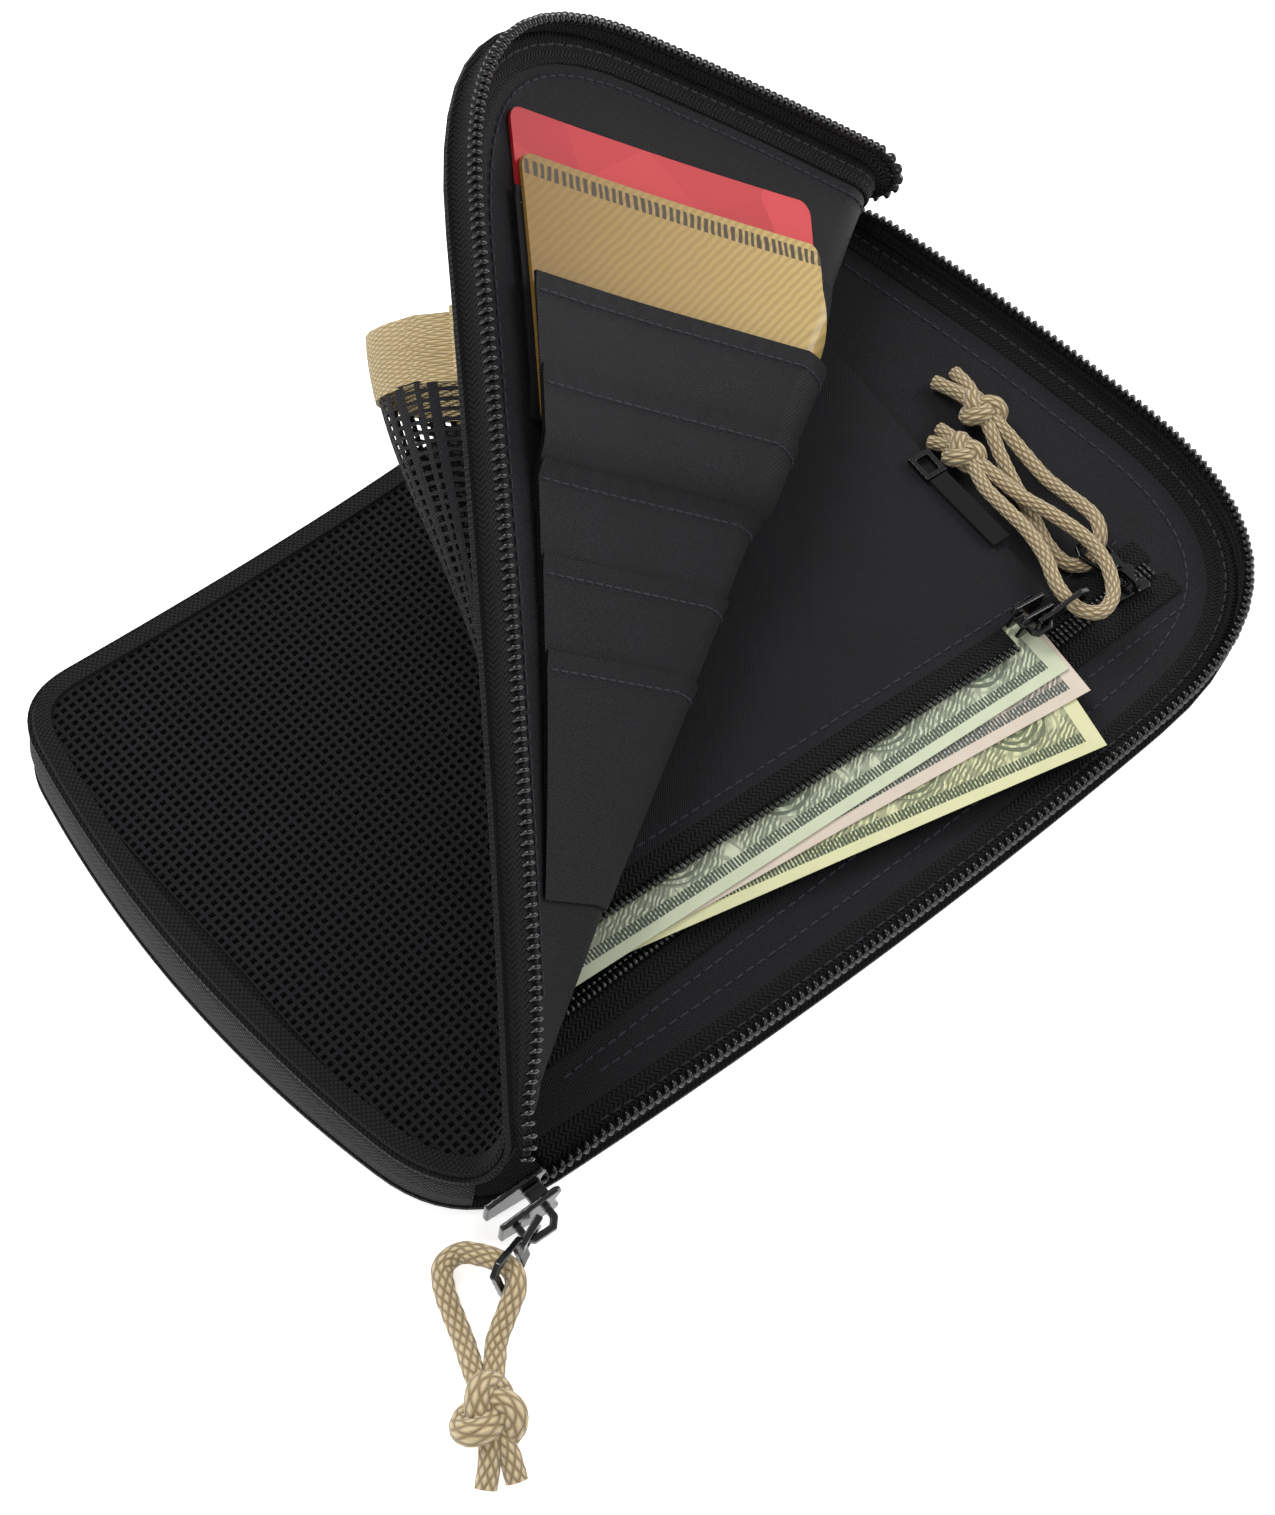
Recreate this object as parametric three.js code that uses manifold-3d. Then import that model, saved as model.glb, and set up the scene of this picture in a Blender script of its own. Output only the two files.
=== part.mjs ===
// Zip-around travel wallet lying on its back, zip open on two sides, free corner rolled back.
// Millimetres, +Z up. Drawn with the slider's corner near (0, 0), then moved so that the origin
// is the middle of the back's underside. X runs along the long zip side, Y across.
import * as THREE from 'three';
import { mergeVertices } from 'three/addons/utils/BufferGeometryUtils.js';
import Module from 'manifold-3d';

const wasm = await Module();
wasm.setup();

// Driving dimensions: plan of the soft body, corners in turn, and how far each side bows out
const cornerA = { x: -8, y: 0, cut: 20 };
const cornerB = { x: 223, y: -9, cut: 54 };
const cornerC = { x: 209, y: 141, cut: 9 };
const cornerD = { x: -8, y: 132, cut: 12 };
const bowAB = 5;
const bowBC = 4;
const bowCD = -7;
const bowDA = 9;
const originPlan = { x: 104, y: 64 };

// Cloth layers
const clear = 0.3;
const shellThick = 1.0;
const liningThick = 0.4;
const panelThick = 0.3;
const liningInset = 3.2;

// Front panel: closed height, puff over the full end, and the roll of the opened corner
const frontHeight = 13;
const puffHeight = 4;
const puffReach = 55;
const puffFade = 120;
const rollAngleDeg = 29.5;
const rollSetback = 8;
const rollRadius = 6.2;
const foldAtSlider = 2.2;
const foldAtEnd = 2.5;
const rollLength = 255;

// Main zip: tape walls that stand on each panel, with a coil along the free edge
const tapeThick = 0.6;
const tapeInset = 0.8;
const tapeWidth = 4.6;
const tapeEndWidth = 1.4;
const coilRadius = 1.25;
const coilGap = 0.45;
const zipStart = -3.5;
const zipEndGap = 9;
const zipFade = 18;

// Card pocket on the inside of the opened corner
const slotCount = 6;
const slotTop = 182;
const slotStep = 17.7;
const slotDepth = 45;
const slotNear = 6;
const slotFar = 97;
const cardLong = 85.6;
const cardShort = 53.98;
const cardThick = 0.76;
const cardCorner = 3.2;
const cardNear = 7.6;
const redCardTop = 199;
const goldCardTop = 189;

// Mesh pocket over the outside of the front
const meshThick = 0.6;
const meshMouth = 156;
const meshBulge = 13;
const bindingWidth = 13;
const bindingThick = 1.4;

// Banknote pouch over the back's lining, and its open zip
const pouchFloor = 4.2;
const pouchRise = 7.6;
const pouchSink = 1.8;
const pouchSinkFrom = 34;
const pouchSinkOver = 36;
const pouchLeft = 14;
const pouchTop = 120;
const pouchTopRight = 184;
const mouthLeft = new THREE.Vector2(20, 38);
const mouthRight = new THREE.Vector2(170, 24.4);
const pouchTape = 4.6;
const smallCoilRadius = 0.8;
const pouchSliderX = 161.5;

// Closed zip set in the back's lining, which runs a little askew
const insetZipRight = new THREE.Vector2(197, 17.1);
const insetZipLong = 172;
const insetZipTurnDeg = -1.6;
const insetTape = 5.2;
const insetCoilWide = 1.3;
const insetCoilHigh = 1.5;
const insetSliderFromEnd = 10.2;
const insetSlitEnd = 1.8;

// Banknotes: size, lower right corner and lie of each, from the lowest up
const noteLong = 156;
const noteShort = 66.3;
const noteThick = 0.2;
const notePitch = 0.5;
const noteFloor = 6.1;
const noteCorners = [
  { x: 154.5, y: -6.5, turn: -15 },
  { x: 161, y: 4.2, turn: -9 },
  { x: 161, y: 10.4, turn: -5.5 }
];

// Webbing of the key leash and the ring on its end
const leashWide = 4.4;
const leashThick = 1.0;
const leashFrom = new THREE.Vector2(171.5, 40);
const leashTo = new THREE.Vector2(173.5, 60);
const ringLong = 6.4;
const ringWide = 5.4;
const ringWire = 1.2;

// Sliders: body, gap for the zip, and the bail over the outer plate
const mainSlider = {
  long: 13, wide: 9.6, gap: 3.4, plate: 1.2, neck: 1.6, bar: 1.3, window: 2.6, high: 4.4, thick: 1.6
};
const smallSlider = {
  long: 9, wide: 7.2, gap: 2.1, plate: 0.8, neck: 0.5, bar: 1.0, window: 1.8, high: 3.2, thick: 1.2
};
const mainSliderAt = { along: -9.5, out: 3.4, height: 7.8, turnDeg: 16 };

// Pulls: an eye round the bail's bar, and a plate with a slot for the cord
const mainPull = { thick: 1.4, eyeWide: 2.8, head: 5.6, long: 14, wide: 9.8, slotWide: 6.8, slotLong: 5.6, twist: 20 };
const smallPull = { thick: 1.1, eyeWide: 2.2, head: 4.6, long: 12.8, wide: 7.4, slotWide: 5.0, slotLong: 5.0, twist: 0 };
const mainPullRaise = 24;
const pouchPullRaise = 0;
const insetPullRaise = 0;
const insetPullYaw = 3;

// Cords: thickness, and the points that their loops run through from one side of the knot
// round to the other
const mainCord = 4;
const smallCord = 3;
const mainCordRoute = [
  [-20.2, -20.8, 4.4], [-17.6, -18.4, 4.8], [-13.0, -16.0, 6.8], [-9.8, -14.2, 8.2], [-8.2, -11.6, 8.1],
  [-8.4, -8.6, 7.2], [-9.8, -4.8, 5.2], [-11.8, -1.8, 3.2], [-15.4, -1.6, 2.3], [-18.0, -5.0, 2.2],
  [-19.8, -9.4, 2.2], [-21.6, -14.2, 2.6], [-23.6, -18.4, 3.6]
];
const pouchCordRoute = [
  [181.4, 56.2, 6.4], [179.4, 51.5, 7.2], [178.0, 45.0, 8.8], [176.8, 38.0, 10.0], [174.4, 31.0, 11.0],
  [171.4, 25.6, 11.5], [170.2, 21.6, 11.5], [170.4, 17.4, 11.4], [173.2, 14.4, 11.2], [178.0, 15.2, 10.6],
  [182.2, 19.2, 10.0], [184.8, 24.4, 9.6], [185.4, 30.4, 9.4], [184.6, 38.0, 8.8], [183.4, 46.0, 7.8],
  [183.6, 55.6, 6.6]
];
const insetCordRoute = [
  [191.4, 61.0, 6.0], [189.6, 56.4, 4.8], [187.2, 49.6, 3.8], [184.0, 41.0, 3.8], [181.6, 34.4, 3.7],
  [181.4, 29.2, 3.7], [184.2, 26.4, 3.9], [186.7, 26.6, 6.1], [188.8, 27.8, 8.4], [190.8, 31.0, 9.0],
  [191.8, 35.4, 8.0], [192.8, 41.0, 5.6], [193.4, 47.0, 4.2], [194.0, 54.0, 4.8], [194.2, 60.6, 6.0]
];

// Knots: centre, half-sizes, and the ends of the two tails
const mainKnot = {
  at: [-27.6, -27.6, 5.7], half: [7.6, 6.6, 5.4], turn: 45, tails: [[-36.0, -36.5, 2.4], [-31.0, -39.0, 2.4]]
};
const pouchKnot = {
  at: [182.9, 61.2, 6.2], half: [4.3, 4.6, 3.9], turn: 0, tails: [[180.6, 68.6, 4.0], [184.8, 69.6, 4.0]]
};
const insetKnot = {
  at: [194.0, 66.6, 6.2], half: [4.0, 5.2, 3.9], turn: 0, tails: [[192.8, 79.0, 4.0], [198.0, 78.0, 4.0]]
};

const rollAngle = THREE.MathUtils.degToRad(rollAngleDeg);
const rollDir = new THREE.Vector2(Math.cos(rollAngle), Math.sin(rollAngle));
const rollSide = new THREE.Vector2(Math.sin(rollAngle), -Math.cos(rollAngle));
const smooth = (t) => THREE.MathUtils.smoothstep(t, 0, 1);

// Colours and finishes
const finish = (hex, roughness, metalness = 0) => new THREE.MeshStandardMaterial({ color: hex, roughness, metalness });
const shellCloth = finish(0x1d1b1f, 0.9);
const liningCloth = finish(0x1c1a20, 0.75);
const meshCloth = finish(0x18171b, 0.85);
const tapeCloth = finish(0x121214, 0.85);
const coilNylon = finish(0x0c0c0d, 0.35);
const blackMetal = finish(0x0a0a0b, 0.25, 0.6);
const tanWebbing = finish(0xc9ae7d, 0.85);
const tanCord = finish(0xc4a878, 0.8);
const paper = finish(0xd9dcc2, 0.8);

const wallet = new THREE.Group();
wallet.position.set(-originPlan.x, -originPlan.y, 0);

function addPiece(name, geometry, material, parent = wallet) {
  const mesh = new THREE.Mesh(geometry, material);
  mesh.name = name;
  parent.add(mesh);
  return mesh;
}

// Plan outline: four sides that are parabolas, joined by rounded corners, anticlockwise from A
function sidePoint(p, q, bow, t) {
  const length = Math.hypot(q.x - p.x, q.y - p.y);
  const out = bow * 4 * t * (1 - t) / length;
  return new THREE.Vector2(
    p.x + (q.x - p.x) * t + (q.y - p.y) * out,
    p.y + (q.y - p.y) * t - (q.x - p.x) * out
  );
}

function makeOutline(sideSteps, cornerSteps) {
  const corners = [cornerA, cornerB, cornerC, cornerD];
  const bows = [bowAB, bowBC, bowCD, bowDA];
  const sides = corners.map((p, i) => {
    const q = corners[(i + 1) % 4];
    const length = Math.hypot(q.x - p.x, q.y - p.y);
    const from = p.cut / length;
    const to = 1 - q.cut / length;
    const steps = Math.max(3, Math.round(sideSteps * length / 230));
    return Array.from({ length: steps + 1 }, (_, k) => sidePoint(p, q, bows[i], from + (to - from) * k / steps));
  });
  const points = [];
  sides.forEach((side, i) => {
    const next = sides[(i + 1) % 4];
    points.push(...side);
    const a = side[side.length - 1];
    const b = next[0];
    const da = a.clone().sub(side[side.length - 2]);
    const db = next[1].clone().sub(b);
    const k = ((b.x - a.x) * db.y - (b.y - a.y) * db.x) / (da.x * db.y - da.y * db.x);
    const tip = a.clone().addScaledVector(da, k);
    for (let j = 1; j < cornerSteps; j++) {
      const t = j / cornerSteps;
      points.push(new THREE.Vector2(
        a.x * (1 - t) ** 2 + tip.x * 2 * t * (1 - t) + b.x * t * t,
        a.y * (1 - t) ** 2 + tip.y * 2 * t * (1 - t) + b.y * t * t
      ));
    }
  });
  return points;
}

function insetLoop(points, inset) {
  const n = points.length;
  return points.map((p, i) => {
    const d = points[(i + 1) % n].clone().sub(points[(i + n - 1) % n]).normalize();
    return new THREE.Vector2(p.x - d.y * inset, p.y + d.x * inset);
  });
}

const outline = makeOutline(14, 8);
const fineOutline = makeOutline(60, 12);

// Lengths along the fine outline, to place things along the edge
const edgeLengths = [0];
fineOutline.forEach((p, i) => {
  edgeLengths.push(edgeLengths[i] + p.distanceTo(fineOutline[(i + 1) % fineOutline.length]));
});
const edgeTotal = edgeLengths[edgeLengths.length - 1];

function edgeAt(along) {
  const s = ((along % edgeTotal) + edgeTotal) % edgeTotal;
  let i = edgeLengths.findIndex((v) => v > s) - 1;
  if (i < 0) i = 0;
  const p = fineOutline[i];
  const q = fineOutline[(i + 1) % fineOutline.length];
  const t = (s - edgeLengths[i]) / (edgeLengths[i + 1] - edgeLengths[i]);
  const before = fineOutline[(i + fineOutline.length - 1) % fineOutline.length];
  const after = fineOutline[(i + 2) % fineOutline.length];
  const d0 = q.clone().sub(before).normalize();
  const d1 = after.clone().sub(p).normalize();
  const d = d0.lerp(d1, t).normalize();
  return { x: p.x + (q.x - p.x) * t, y: p.y + (q.y - p.y) * t, inX: -d.y, inY: d.x };
}

function edgeNearest(x, y) {
  let best = 0;
  let least = Infinity;
  fineOutline.forEach((p, i) => {
    const d = Math.hypot(p.x - x, p.y - y);
    if (d < least) {
      least = d;
      best = edgeLengths[i];
    }
  });
  return best;
}

// Height of the front's outer face where it lies flat: a puff that fades towards the roll
function frontTop(x, y) {
  const across = x * rollSide.x + y * rollSide.y + rollSetback;
  const rise = smooth(-across / puffReach) * (1 - smooth(x / puffFade));
  return frontHeight + puffHeight * rise;
}

// A place on the front panel. depth is measured inwards from its outer face. Past the roll's
// foot the cloth bends up and back over by an angle that grows a little towards the zip's end.
function onFront(x, y, depth) {
  const along = x * rollDir.x + y * rollDir.y;
  const across = x * rollSide.x + y * rollSide.y + rollSetback;
  if (across <= 0) return new THREE.Vector3(x, y, frontTop(x, y) - depth);
  const fold = foldAtSlider + (foldAtEnd - foldAtSlider) * along / rollLength;
  const turn = Math.min(across / rollRadius, fold);
  const rest = Math.max(across - rollRadius * fold, 0);
  const reach = (rollRadius + depth) * Math.sin(turn) + rest * Math.cos(fold) - rollSetback;
  const rise = rollRadius - (rollRadius + depth) * Math.cos(turn) + rest * Math.sin(fold);
  return new THREE.Vector3(
    along * rollDir.x + reach * rollSide.x,
    along * rollDir.y + reach * rollSide.y,
    frontHeight + rise
  );
}

const onBack = (x, y, height) => new THREE.Vector3(x, y, height);

// Cuts a polygon to one side of a line: keep where axis value is over or under the limit
function clipSide(points, axis, limit, keepAbove) {
  const inside = (p) => (keepAbove ? p[axis] >= limit : p[axis] <= limit);
  const result = [];
  points.forEach((p, i) => {
    const q = points[(i + 1) % points.length];
    if (inside(p)) result.push(p);
    if (inside(p) !== inside(q)) {
      const t = (limit - p[axis]) / (q[axis] - p[axis]);
      const cut = p.clone().lerp(q, t);
      cut[axis] = limit;
      result.push(cut);
    }
  });
  return result;
}

// Lines of the folding grid, along the roll and across it
const alongLines = [-400, ...Array.from({ length: 14 }, (_, i) => 20 * i), 600];
const acrossLines = [-400, -90, -60, -40, -20, -8, 0, 2.5, 5, 7.5, 10, 12.5, 15.5, 30, 48, 68, 90, 400];

function splitAt(polygons, axis, lines) {
  return lines.reduce((parts, line) => parts.flatMap((part) => (
    [clipSide(part, axis, line, true), clipSide(part, axis, line, false)].filter((piece) => piece.length > 2)
  )), polygons);
}

function foldCells(polygon) {
  const turned = polygon.map((p) => new THREE.Vector2(
    p.x * rollDir.x + p.y * rollDir.y,
    p.x * rollSide.x + p.y * rollSide.y + rollSetback
  ));
  const cells = [];
  for (let i = 0; i + 1 < alongLines.length; i++) {
    for (let j = 0; j + 1 < acrossLines.length; j++) {
      let cell = clipSide(turned, 'x', alongLines[i], true);
      cell = clipSide(cell, 'x', alongLines[i + 1], false);
      cell = clipSide(cell, 'y', acrossLines[j], true);
      cell = clipSide(cell, 'y', acrossLines[j + 1], false);
      if (cell.length > 2) {
        cells.push(cell.map((p) => new THREE.Vector2(
          p.x * rollDir.x + (p.y - rollSetback) * rollSide.x,
          p.x * rollDir.y + (p.y - rollSetback) * rollSide.y
        )));
      }
    }
  }
  return cells;
}

// A sheet of cloth cut to a plan polygon: place(x, y, level) puts its two faces. A sheet on the
// front follows the folding grid, and lines are further places where its level changes.
function sheet(polygon, place, levelA, levelB, lines = { x: [], y: [] }) {
  const parts = splitAt(splitAt([polygon], 'x', lines.x), 'y', lines.y);
  const cells = place === onFront ? parts.flatMap(foldCells) : parts;
  const plan = [];
  const index = new Map();
  const find = (p) => {
    const key = `${Math.round(p.x * 500)},${Math.round(p.y * 500)}`;
    if (!index.has(key)) {
      index.set(key, plan.length);
      plan.push(p);
    }
    return index.get(key);
  };
  const faces = [];
  cells.forEach((cell) => {
    const ids = cell.map(find).filter((id, i, all) => id !== all[(i + 1) % all.length]);
    if (ids.length < 3) return;
    const ring = ids.map((id) => plan[id]);
    THREE.ShapeUtils.triangulateShape(ring, []).forEach(([a, b, c]) => faces.push([ids[a], ids[b], ids[c]]));
  });
  const area = (f) => {
    const [a, b, c] = f.map((id) => plan[id]);
    return (b.x - a.x) * (c.y - a.y) - (b.y - a.y) * (c.x - a.x);
  };
  const good = faces.filter((f) => Math.abs(area(f)) > 1e-9).map((f) => (area(f) > 0 ? f : [f[0], f[2], f[1]]));
  const level = (value, p) => (typeof value === 'function' ? value(p.x, p.y) : value);
  const n = plan.length;
  const vertices = [];
  plan.forEach((p) => vertices.push(place(p.x, p.y, level(levelA, p))));
  plan.forEach((p) => vertices.push(place(p.x, p.y, level(levelB, p))));
  const used = new Set(good.flatMap(([a, b, c]) => [`${a},${b}`, `${b},${c}`, `${c},${a}`]));
  const triangles = [];
  good.forEach(([a, b, c]) => {
    triangles.push([a, c, b]);
    triangles.push([a + n, b + n, c + n]);
    [[a, b], [b, c], [c, a]].forEach(([p, q]) => {
      if (!used.has(`${q},${p}`)) triangles.push([p, q, q + n], [p, q + n, p + n]);
    });
  });
  return solid(vertices, triangles);
}

function solid(vertices, triangles) {
  const geometry = new THREE.BufferGeometry();
  geometry.setAttribute('position', new THREE.Float32BufferAttribute(vertices.flatMap((v) => [v.x, v.y, v.z]), 3));
  geometry.setIndex(triangles.flat());
  const merged = mergeVertices(geometry, 1e-4);
  return volume(merged) < 0 ? turnOut(merged) : merged;
}

function volume(geometry) {
  const position = geometry.attributes.position;
  const [a, b, c] = [new THREE.Vector3(), new THREE.Vector3(), new THREE.Vector3()];
  let sum = 0;
  for (let i = 0; i < geometry.index.count; i += 3) {
    a.fromBufferAttribute(position, geometry.index.getX(i));
    b.fromBufferAttribute(position, geometry.index.getX(i + 1));
    c.fromBufferAttribute(position, geometry.index.getX(i + 2));
    sum += a.dot(b.cross(c));
  }
  return sum;
}

function turnOut(geometry) {
  const index = geometry.index;
  for (let i = 0; i < index.count; i += 3) {
    const held = index.getX(i);
    index.setX(i, index.getX(i + 1));
    index.setX(i + 1, held);
  }
  return geometry;
}

// A strip with a four-cornered section, swept along a list of stations
function strip(stations) {
  const vertices = stations.flat();
  const triangles = [[0, 1, 2], [0, 2, 3]];
  const last = (stations.length - 1) * 4;
  triangles.push([last, last + 2, last + 1], [last, last + 3, last + 2]);
  for (let i = 0; i + 1 < stations.length; i++) {
    for (let k = 0; k < 4; k++) {
      const a = i * 4 + k;
      const b = i * 4 + (k + 1) % 4;
      triangles.push([a, a + 4, b], [b, a + 4, b + 4]);
    }
  }
  return solid(vertices, triangles);
}

// A round bar or cord along a smooth curve
function roundAlong(points, radius, steps, sides = 8) {
  const section = new THREE.Shape();
  for (let i = 0; i < sides; i++) {
    const a = 2 * Math.PI * i / sides;
    const [x, y] = [radius * Math.cos(a), radius * Math.sin(a)];
    if (i === 0) section.moveTo(x, y);
    else section.lineTo(x, y);
  }
  const curve = new THREE.CatmullRomCurve3(points, false, 'centripetal');
  const geometry = new THREE.ExtrudeGeometry(section, { steps, bevelEnabled: false, extrudePath: curve, curveSegments: 1 });
  return tidy(geometry);
}

function tidy(geometry) {
  geometry.deleteAttribute('normal');
  geometry.deleteAttribute('uv');
  return mergeVertices(geometry, 1e-4);
}

// Shapes that are joined and cut by the solid library
function toSolid(geometry) {
  const merged = tidy(geometry);
  return new wasm.Manifold(new wasm.Mesh({
    numProp: 3,
    vertProperties: Float32Array.from(merged.attributes.position.array),
    triVerts: Uint32Array.from(merged.index.array)
  }));
}

function fromSolid(body) {
  const mesh = body.getMesh();
  const geometry = new THREE.BufferGeometry();
  geometry.setAttribute('position', new THREE.Float32BufferAttribute(mesh.vertProperties, 3));
  geometry.setIndex([...mesh.triVerts]);
  return geometry;
}

// Panels of the body
addPiece('back_shell', sheet(outline, onBack, 0, shellThick), shellCloth);
const backLiningLow = shellThick + clear;
const backLiningTop = backLiningLow + liningThick;
const liningOutline = insetLoop(outline, liningInset);
const insetTurn = THREE.MathUtils.degToRad(insetZipTurnDeg);
const alongInset = new THREE.Vector2(Math.cos(insetTurn), Math.sin(insetTurn));
const slitWide = smallSlider.wide + 2 * clear;
const slitLong = insetZipLong - insetTape - insetSlitEnd;
const slitMiddle = insetSlitEnd + slitLong / 2;
const slit = toSolid(new THREE.BoxGeometry(slitLong, slitWide, frontHeight))
  .rotate([0, 0, insetZipTurnDeg])
  .translate([
    insetZipRight.x - alongInset.x * slitMiddle,
    insetZipRight.y - alongInset.y * slitMiddle,
    0
  ]);
const liningSheet = sheet(liningOutline, onBack, backLiningLow, backLiningTop);
addPiece('back_lining', fromSolid(toSolid(liningSheet).subtract(slit)), liningCloth);
addPiece('front_shell', sheet(outline, onFront, 0, shellThick), shellCloth);
const frontLiningAt = shellThick + clear;
const frontLiningEnd = frontLiningAt + liningThick;
addPiece('front_lining', sheet(liningOutline, onFront, frontLiningAt, frontLiningEnd), liningCloth);

// Where the zip starts at the slider and ends near C, and where the closed side wall runs
const zipFrom = zipStart;
const zipTo = edgeNearest(cornerC.x, cornerC.y) - zipEndGap;
const wallFrom = edgeNearest(cornerC.x, cornerC.y) + cornerC.cut;
const wallTo = edgeTotal + mainSliderAt.along - mainSlider.long / 2 - 4 * clear;

// Stations along the edge: even steps, and one wherever the edge crosses a line of the fold
function edgeStations(from, to, steps) {
  const found = Array.from({ length: steps + 1 }, (_, i) => from + (to - from) * i / steps);
  const scan = 0.2;
  const acrossAt = (along) => {
    const e = edgeAt(along);
    return e.x * rollSide.x + e.y * rollSide.y + rollSetback;
  };
  for (let along = from; along + scan < to; along += scan) {
    const [a, b] = [acrossAt(along), acrossAt(along + scan)];
    acrossLines.filter((line) => (a - line) * (b - line) < 0).forEach(() => found.push(along + scan / 2));
  }
  found.sort((a, b) => a - b);
  return found.filter((along, i) => i === 0 || along - found[i - 1] > 2 * scan);
}

const wallStations = edgeStations(wallFrom, wallTo, 60).map((along) => {
  const e = edgeAt(along);
  const outer = { x: e.x + e.inX * tapeInset, y: e.y + e.inY * tapeInset };
  const inner = { x: outer.x + e.inX * shellThick, y: outer.y + e.inY * shellThick };
  const low = shellThick + clear;
  const under = shellThick + clear;
  return [
    onBack(outer.x, outer.y, low),
    onBack(inner.x, inner.y, low),
    onFront(inner.x, inner.y, under),
    onFront(outer.x, outer.y, under)
  ];
});
addPiece('side_gusset', strip(wallStations), shellCloth);

// Main zip
const zipSteps = 36;
const tapeReach = (along) => {
  const fade = smooth(Math.min(zipTo - along, along - zipFrom) / zipFade);
  return tapeEndWidth + (tapeWidth - tapeEndWidth) * fade;
};

const zipAlongs = edgeStations(zipFrom, zipTo, zipSteps);

function zipStations(place, foot) {
  return zipAlongs.map((along) => {
    const e = edgeAt(along);
    const outer = { x: e.x + e.inX * tapeInset, y: e.y + e.inY * tapeInset };
    const inner = { x: outer.x + e.inX * tapeThick, y: outer.y + e.inY * tapeThick };
    const head = foot + tapeReach(along);
    return [
      place(outer.x, outer.y, foot),
      place(inner.x, inner.y, foot),
      place(inner.x, inner.y, head),
      place(outer.x, outer.y, head)
    ];
  });
}

function zipCoil(place, foot) {
  const points = zipAlongs.map((along) => {
    const e = edgeAt(along);
    const inset = tapeInset + tapeThick / 2;
    const level = foot + tapeReach(along) + coilGap + coilRadius;
    return place(e.x + e.inX * inset, e.y + e.inY * inset, level);
  });
  return roundAlong(points, coilRadius, Math.round(zipSteps * 1.4), 6);
}

addPiece('zip_tape_back', strip(zipStations(onBack, backLiningLow)), tapeCloth);
addPiece('zip_coil_back', zipCoil(onBack, backLiningLow), coilNylon);
addPiece('zip_tape_front', strip(zipStations(onFront, frontLiningAt)), tapeCloth);
addPiece('zip_coil_front', zipCoil(onFront, frontLiningAt), coilNylon);

// Stop that clamps both coils where the zip ends
const stopAt = edgeAt(zipTo + clear + coilRadius + 1.5);
const stopLow = backLiningTop + clear;
const stopHigh = frontHeight - frontLiningEnd - clear;
const stop = addPiece('zip_end_stop', tidy(new THREE.BoxGeometry(2.4, 3, stopHigh - stopLow)), coilNylon);
stop.position.set(stopAt.x + stopAt.inX * 2, stopAt.y + stopAt.inY * 2, (stopLow + stopHigh) / 2);
stop.rotation.z = Math.atan2(stopAt.inY, stopAt.inX);

// Card pocket: stepped panels, each mouth over the one before
const span = (x0, x1, y0, y1) => [
  new THREE.Vector2(x0, y0), new THREE.Vector2(x1, y0), new THREE.Vector2(x1, y1), new THREE.Vector2(x0, y1)
];
const pocketAt = frontLiningEnd + clear;
const layerStep = panelThick + clear;
const redLevel = pocketAt;
const cardRoom = cardThick + clear;
const goldLevel = redLevel + cardRoom + layerStep;
const rampFoot = 10;
const cardRamp = (x, cardBottom, rise) => rise * smooth((x - cardBottom + rampFoot) / (rampFoot - 1));
const goldBottom = goldCardTop - cardShort;
const redBottom = redCardTop - cardShort;
const rampLines = [redBottom, goldBottom].flatMap((x) => [x - rampFoot, x - rampFoot / 2, x - 1]);
for (let k = 0; k < slotCount; k++) {
  const mouth = slotTop - slotStep * k;
  const foot = mouth - slotDepth;
  const level = (x) => {
    const lean = layerStep * (x - foot) / slotStep;
    if (k === 0) return pocketAt + cardRamp(x, redBottom, cardRoom);
    return pocketAt + cardRamp(x, goldBottom, 2 * cardRoom + layerStep) + lean;
  };
  const polygon = span(foot, mouth, slotNear, slotFar);
  const upper = (x) => level(x) + panelThick;
  addPiece(`slot_panel_${k + 1}`, sheet(polygon, onFront, level, upper, { x: rampLines, y: [] }), liningCloth);
}

function cardPlan(top) {
  const points = [];
  const [x0, x1, y0, y1] = [top - cardShort, top, cardNear, cardNear + cardLong];
  [[x0, y0, Math.PI], [x1, y0, 1.5 * Math.PI], [x1, y1, 0], [x0, y1, 0.5 * Math.PI]].forEach(([x, y, from]) => {
    const cx = x === x0 ? x0 + cardCorner : x1 - cardCorner;
    const cy = y === y0 ? y0 + cardCorner : y1 - cardCorner;
    for (let j = 0; j <= 3; j++) {
      const a = from + Math.PI / 2 * j / 3;
      points.push(new THREE.Vector2(cx + cardCorner * Math.cos(a), cy + cardCorner * Math.sin(a)));
    }
  });
  return points;
}
addPiece('card_red', sheet(cardPlan(redCardTop), onFront, redLevel, redLevel + cardThick), finish(0xd8383a, 0.35));
addPiece('card_gold', sheet(cardPlan(goldCardTop), onFront, goldLevel, goldLevel + cardThick), finish(0xc9a55a, 0.35));

// Mesh pocket, slack and standing open along its mouth near the free edge
const meshPull = (x, y) => {
  const towardsMouth = smooth((x - 20) / (meshMouth - 20)) ** 2;
  const slack = Math.sin(Math.PI * THREE.MathUtils.clamp((y - 1) / 62, 0, 1) ** 0.6);
  return -clear - meshThick - meshBulge * towardsMouth * slack;
};
const meshGrid = (() => {
  const inner = insetLoop(outline, 1.2);
  return clipSide(inner, 'x', meshMouth - bindingWidth - clear, false);
})();
const meshLines = { x: [30, 55, 80, 105, 125], y: [4, 10, 18, 30, 42, 52, 63] };
const meshOuter = (x, y) => meshPull(x, y) + meshThick;
addPiece('mesh_pocket', sheet(meshGrid, onFront, meshPull, meshOuter, meshLines), meshCloth);
const bindingStrip = (() => {
  const inner = insetLoop(outline, 1.2);
  return clipSide(clipSide(inner, 'x', meshMouth, false), 'x', meshMouth - bindingWidth, true);
})();
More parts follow.
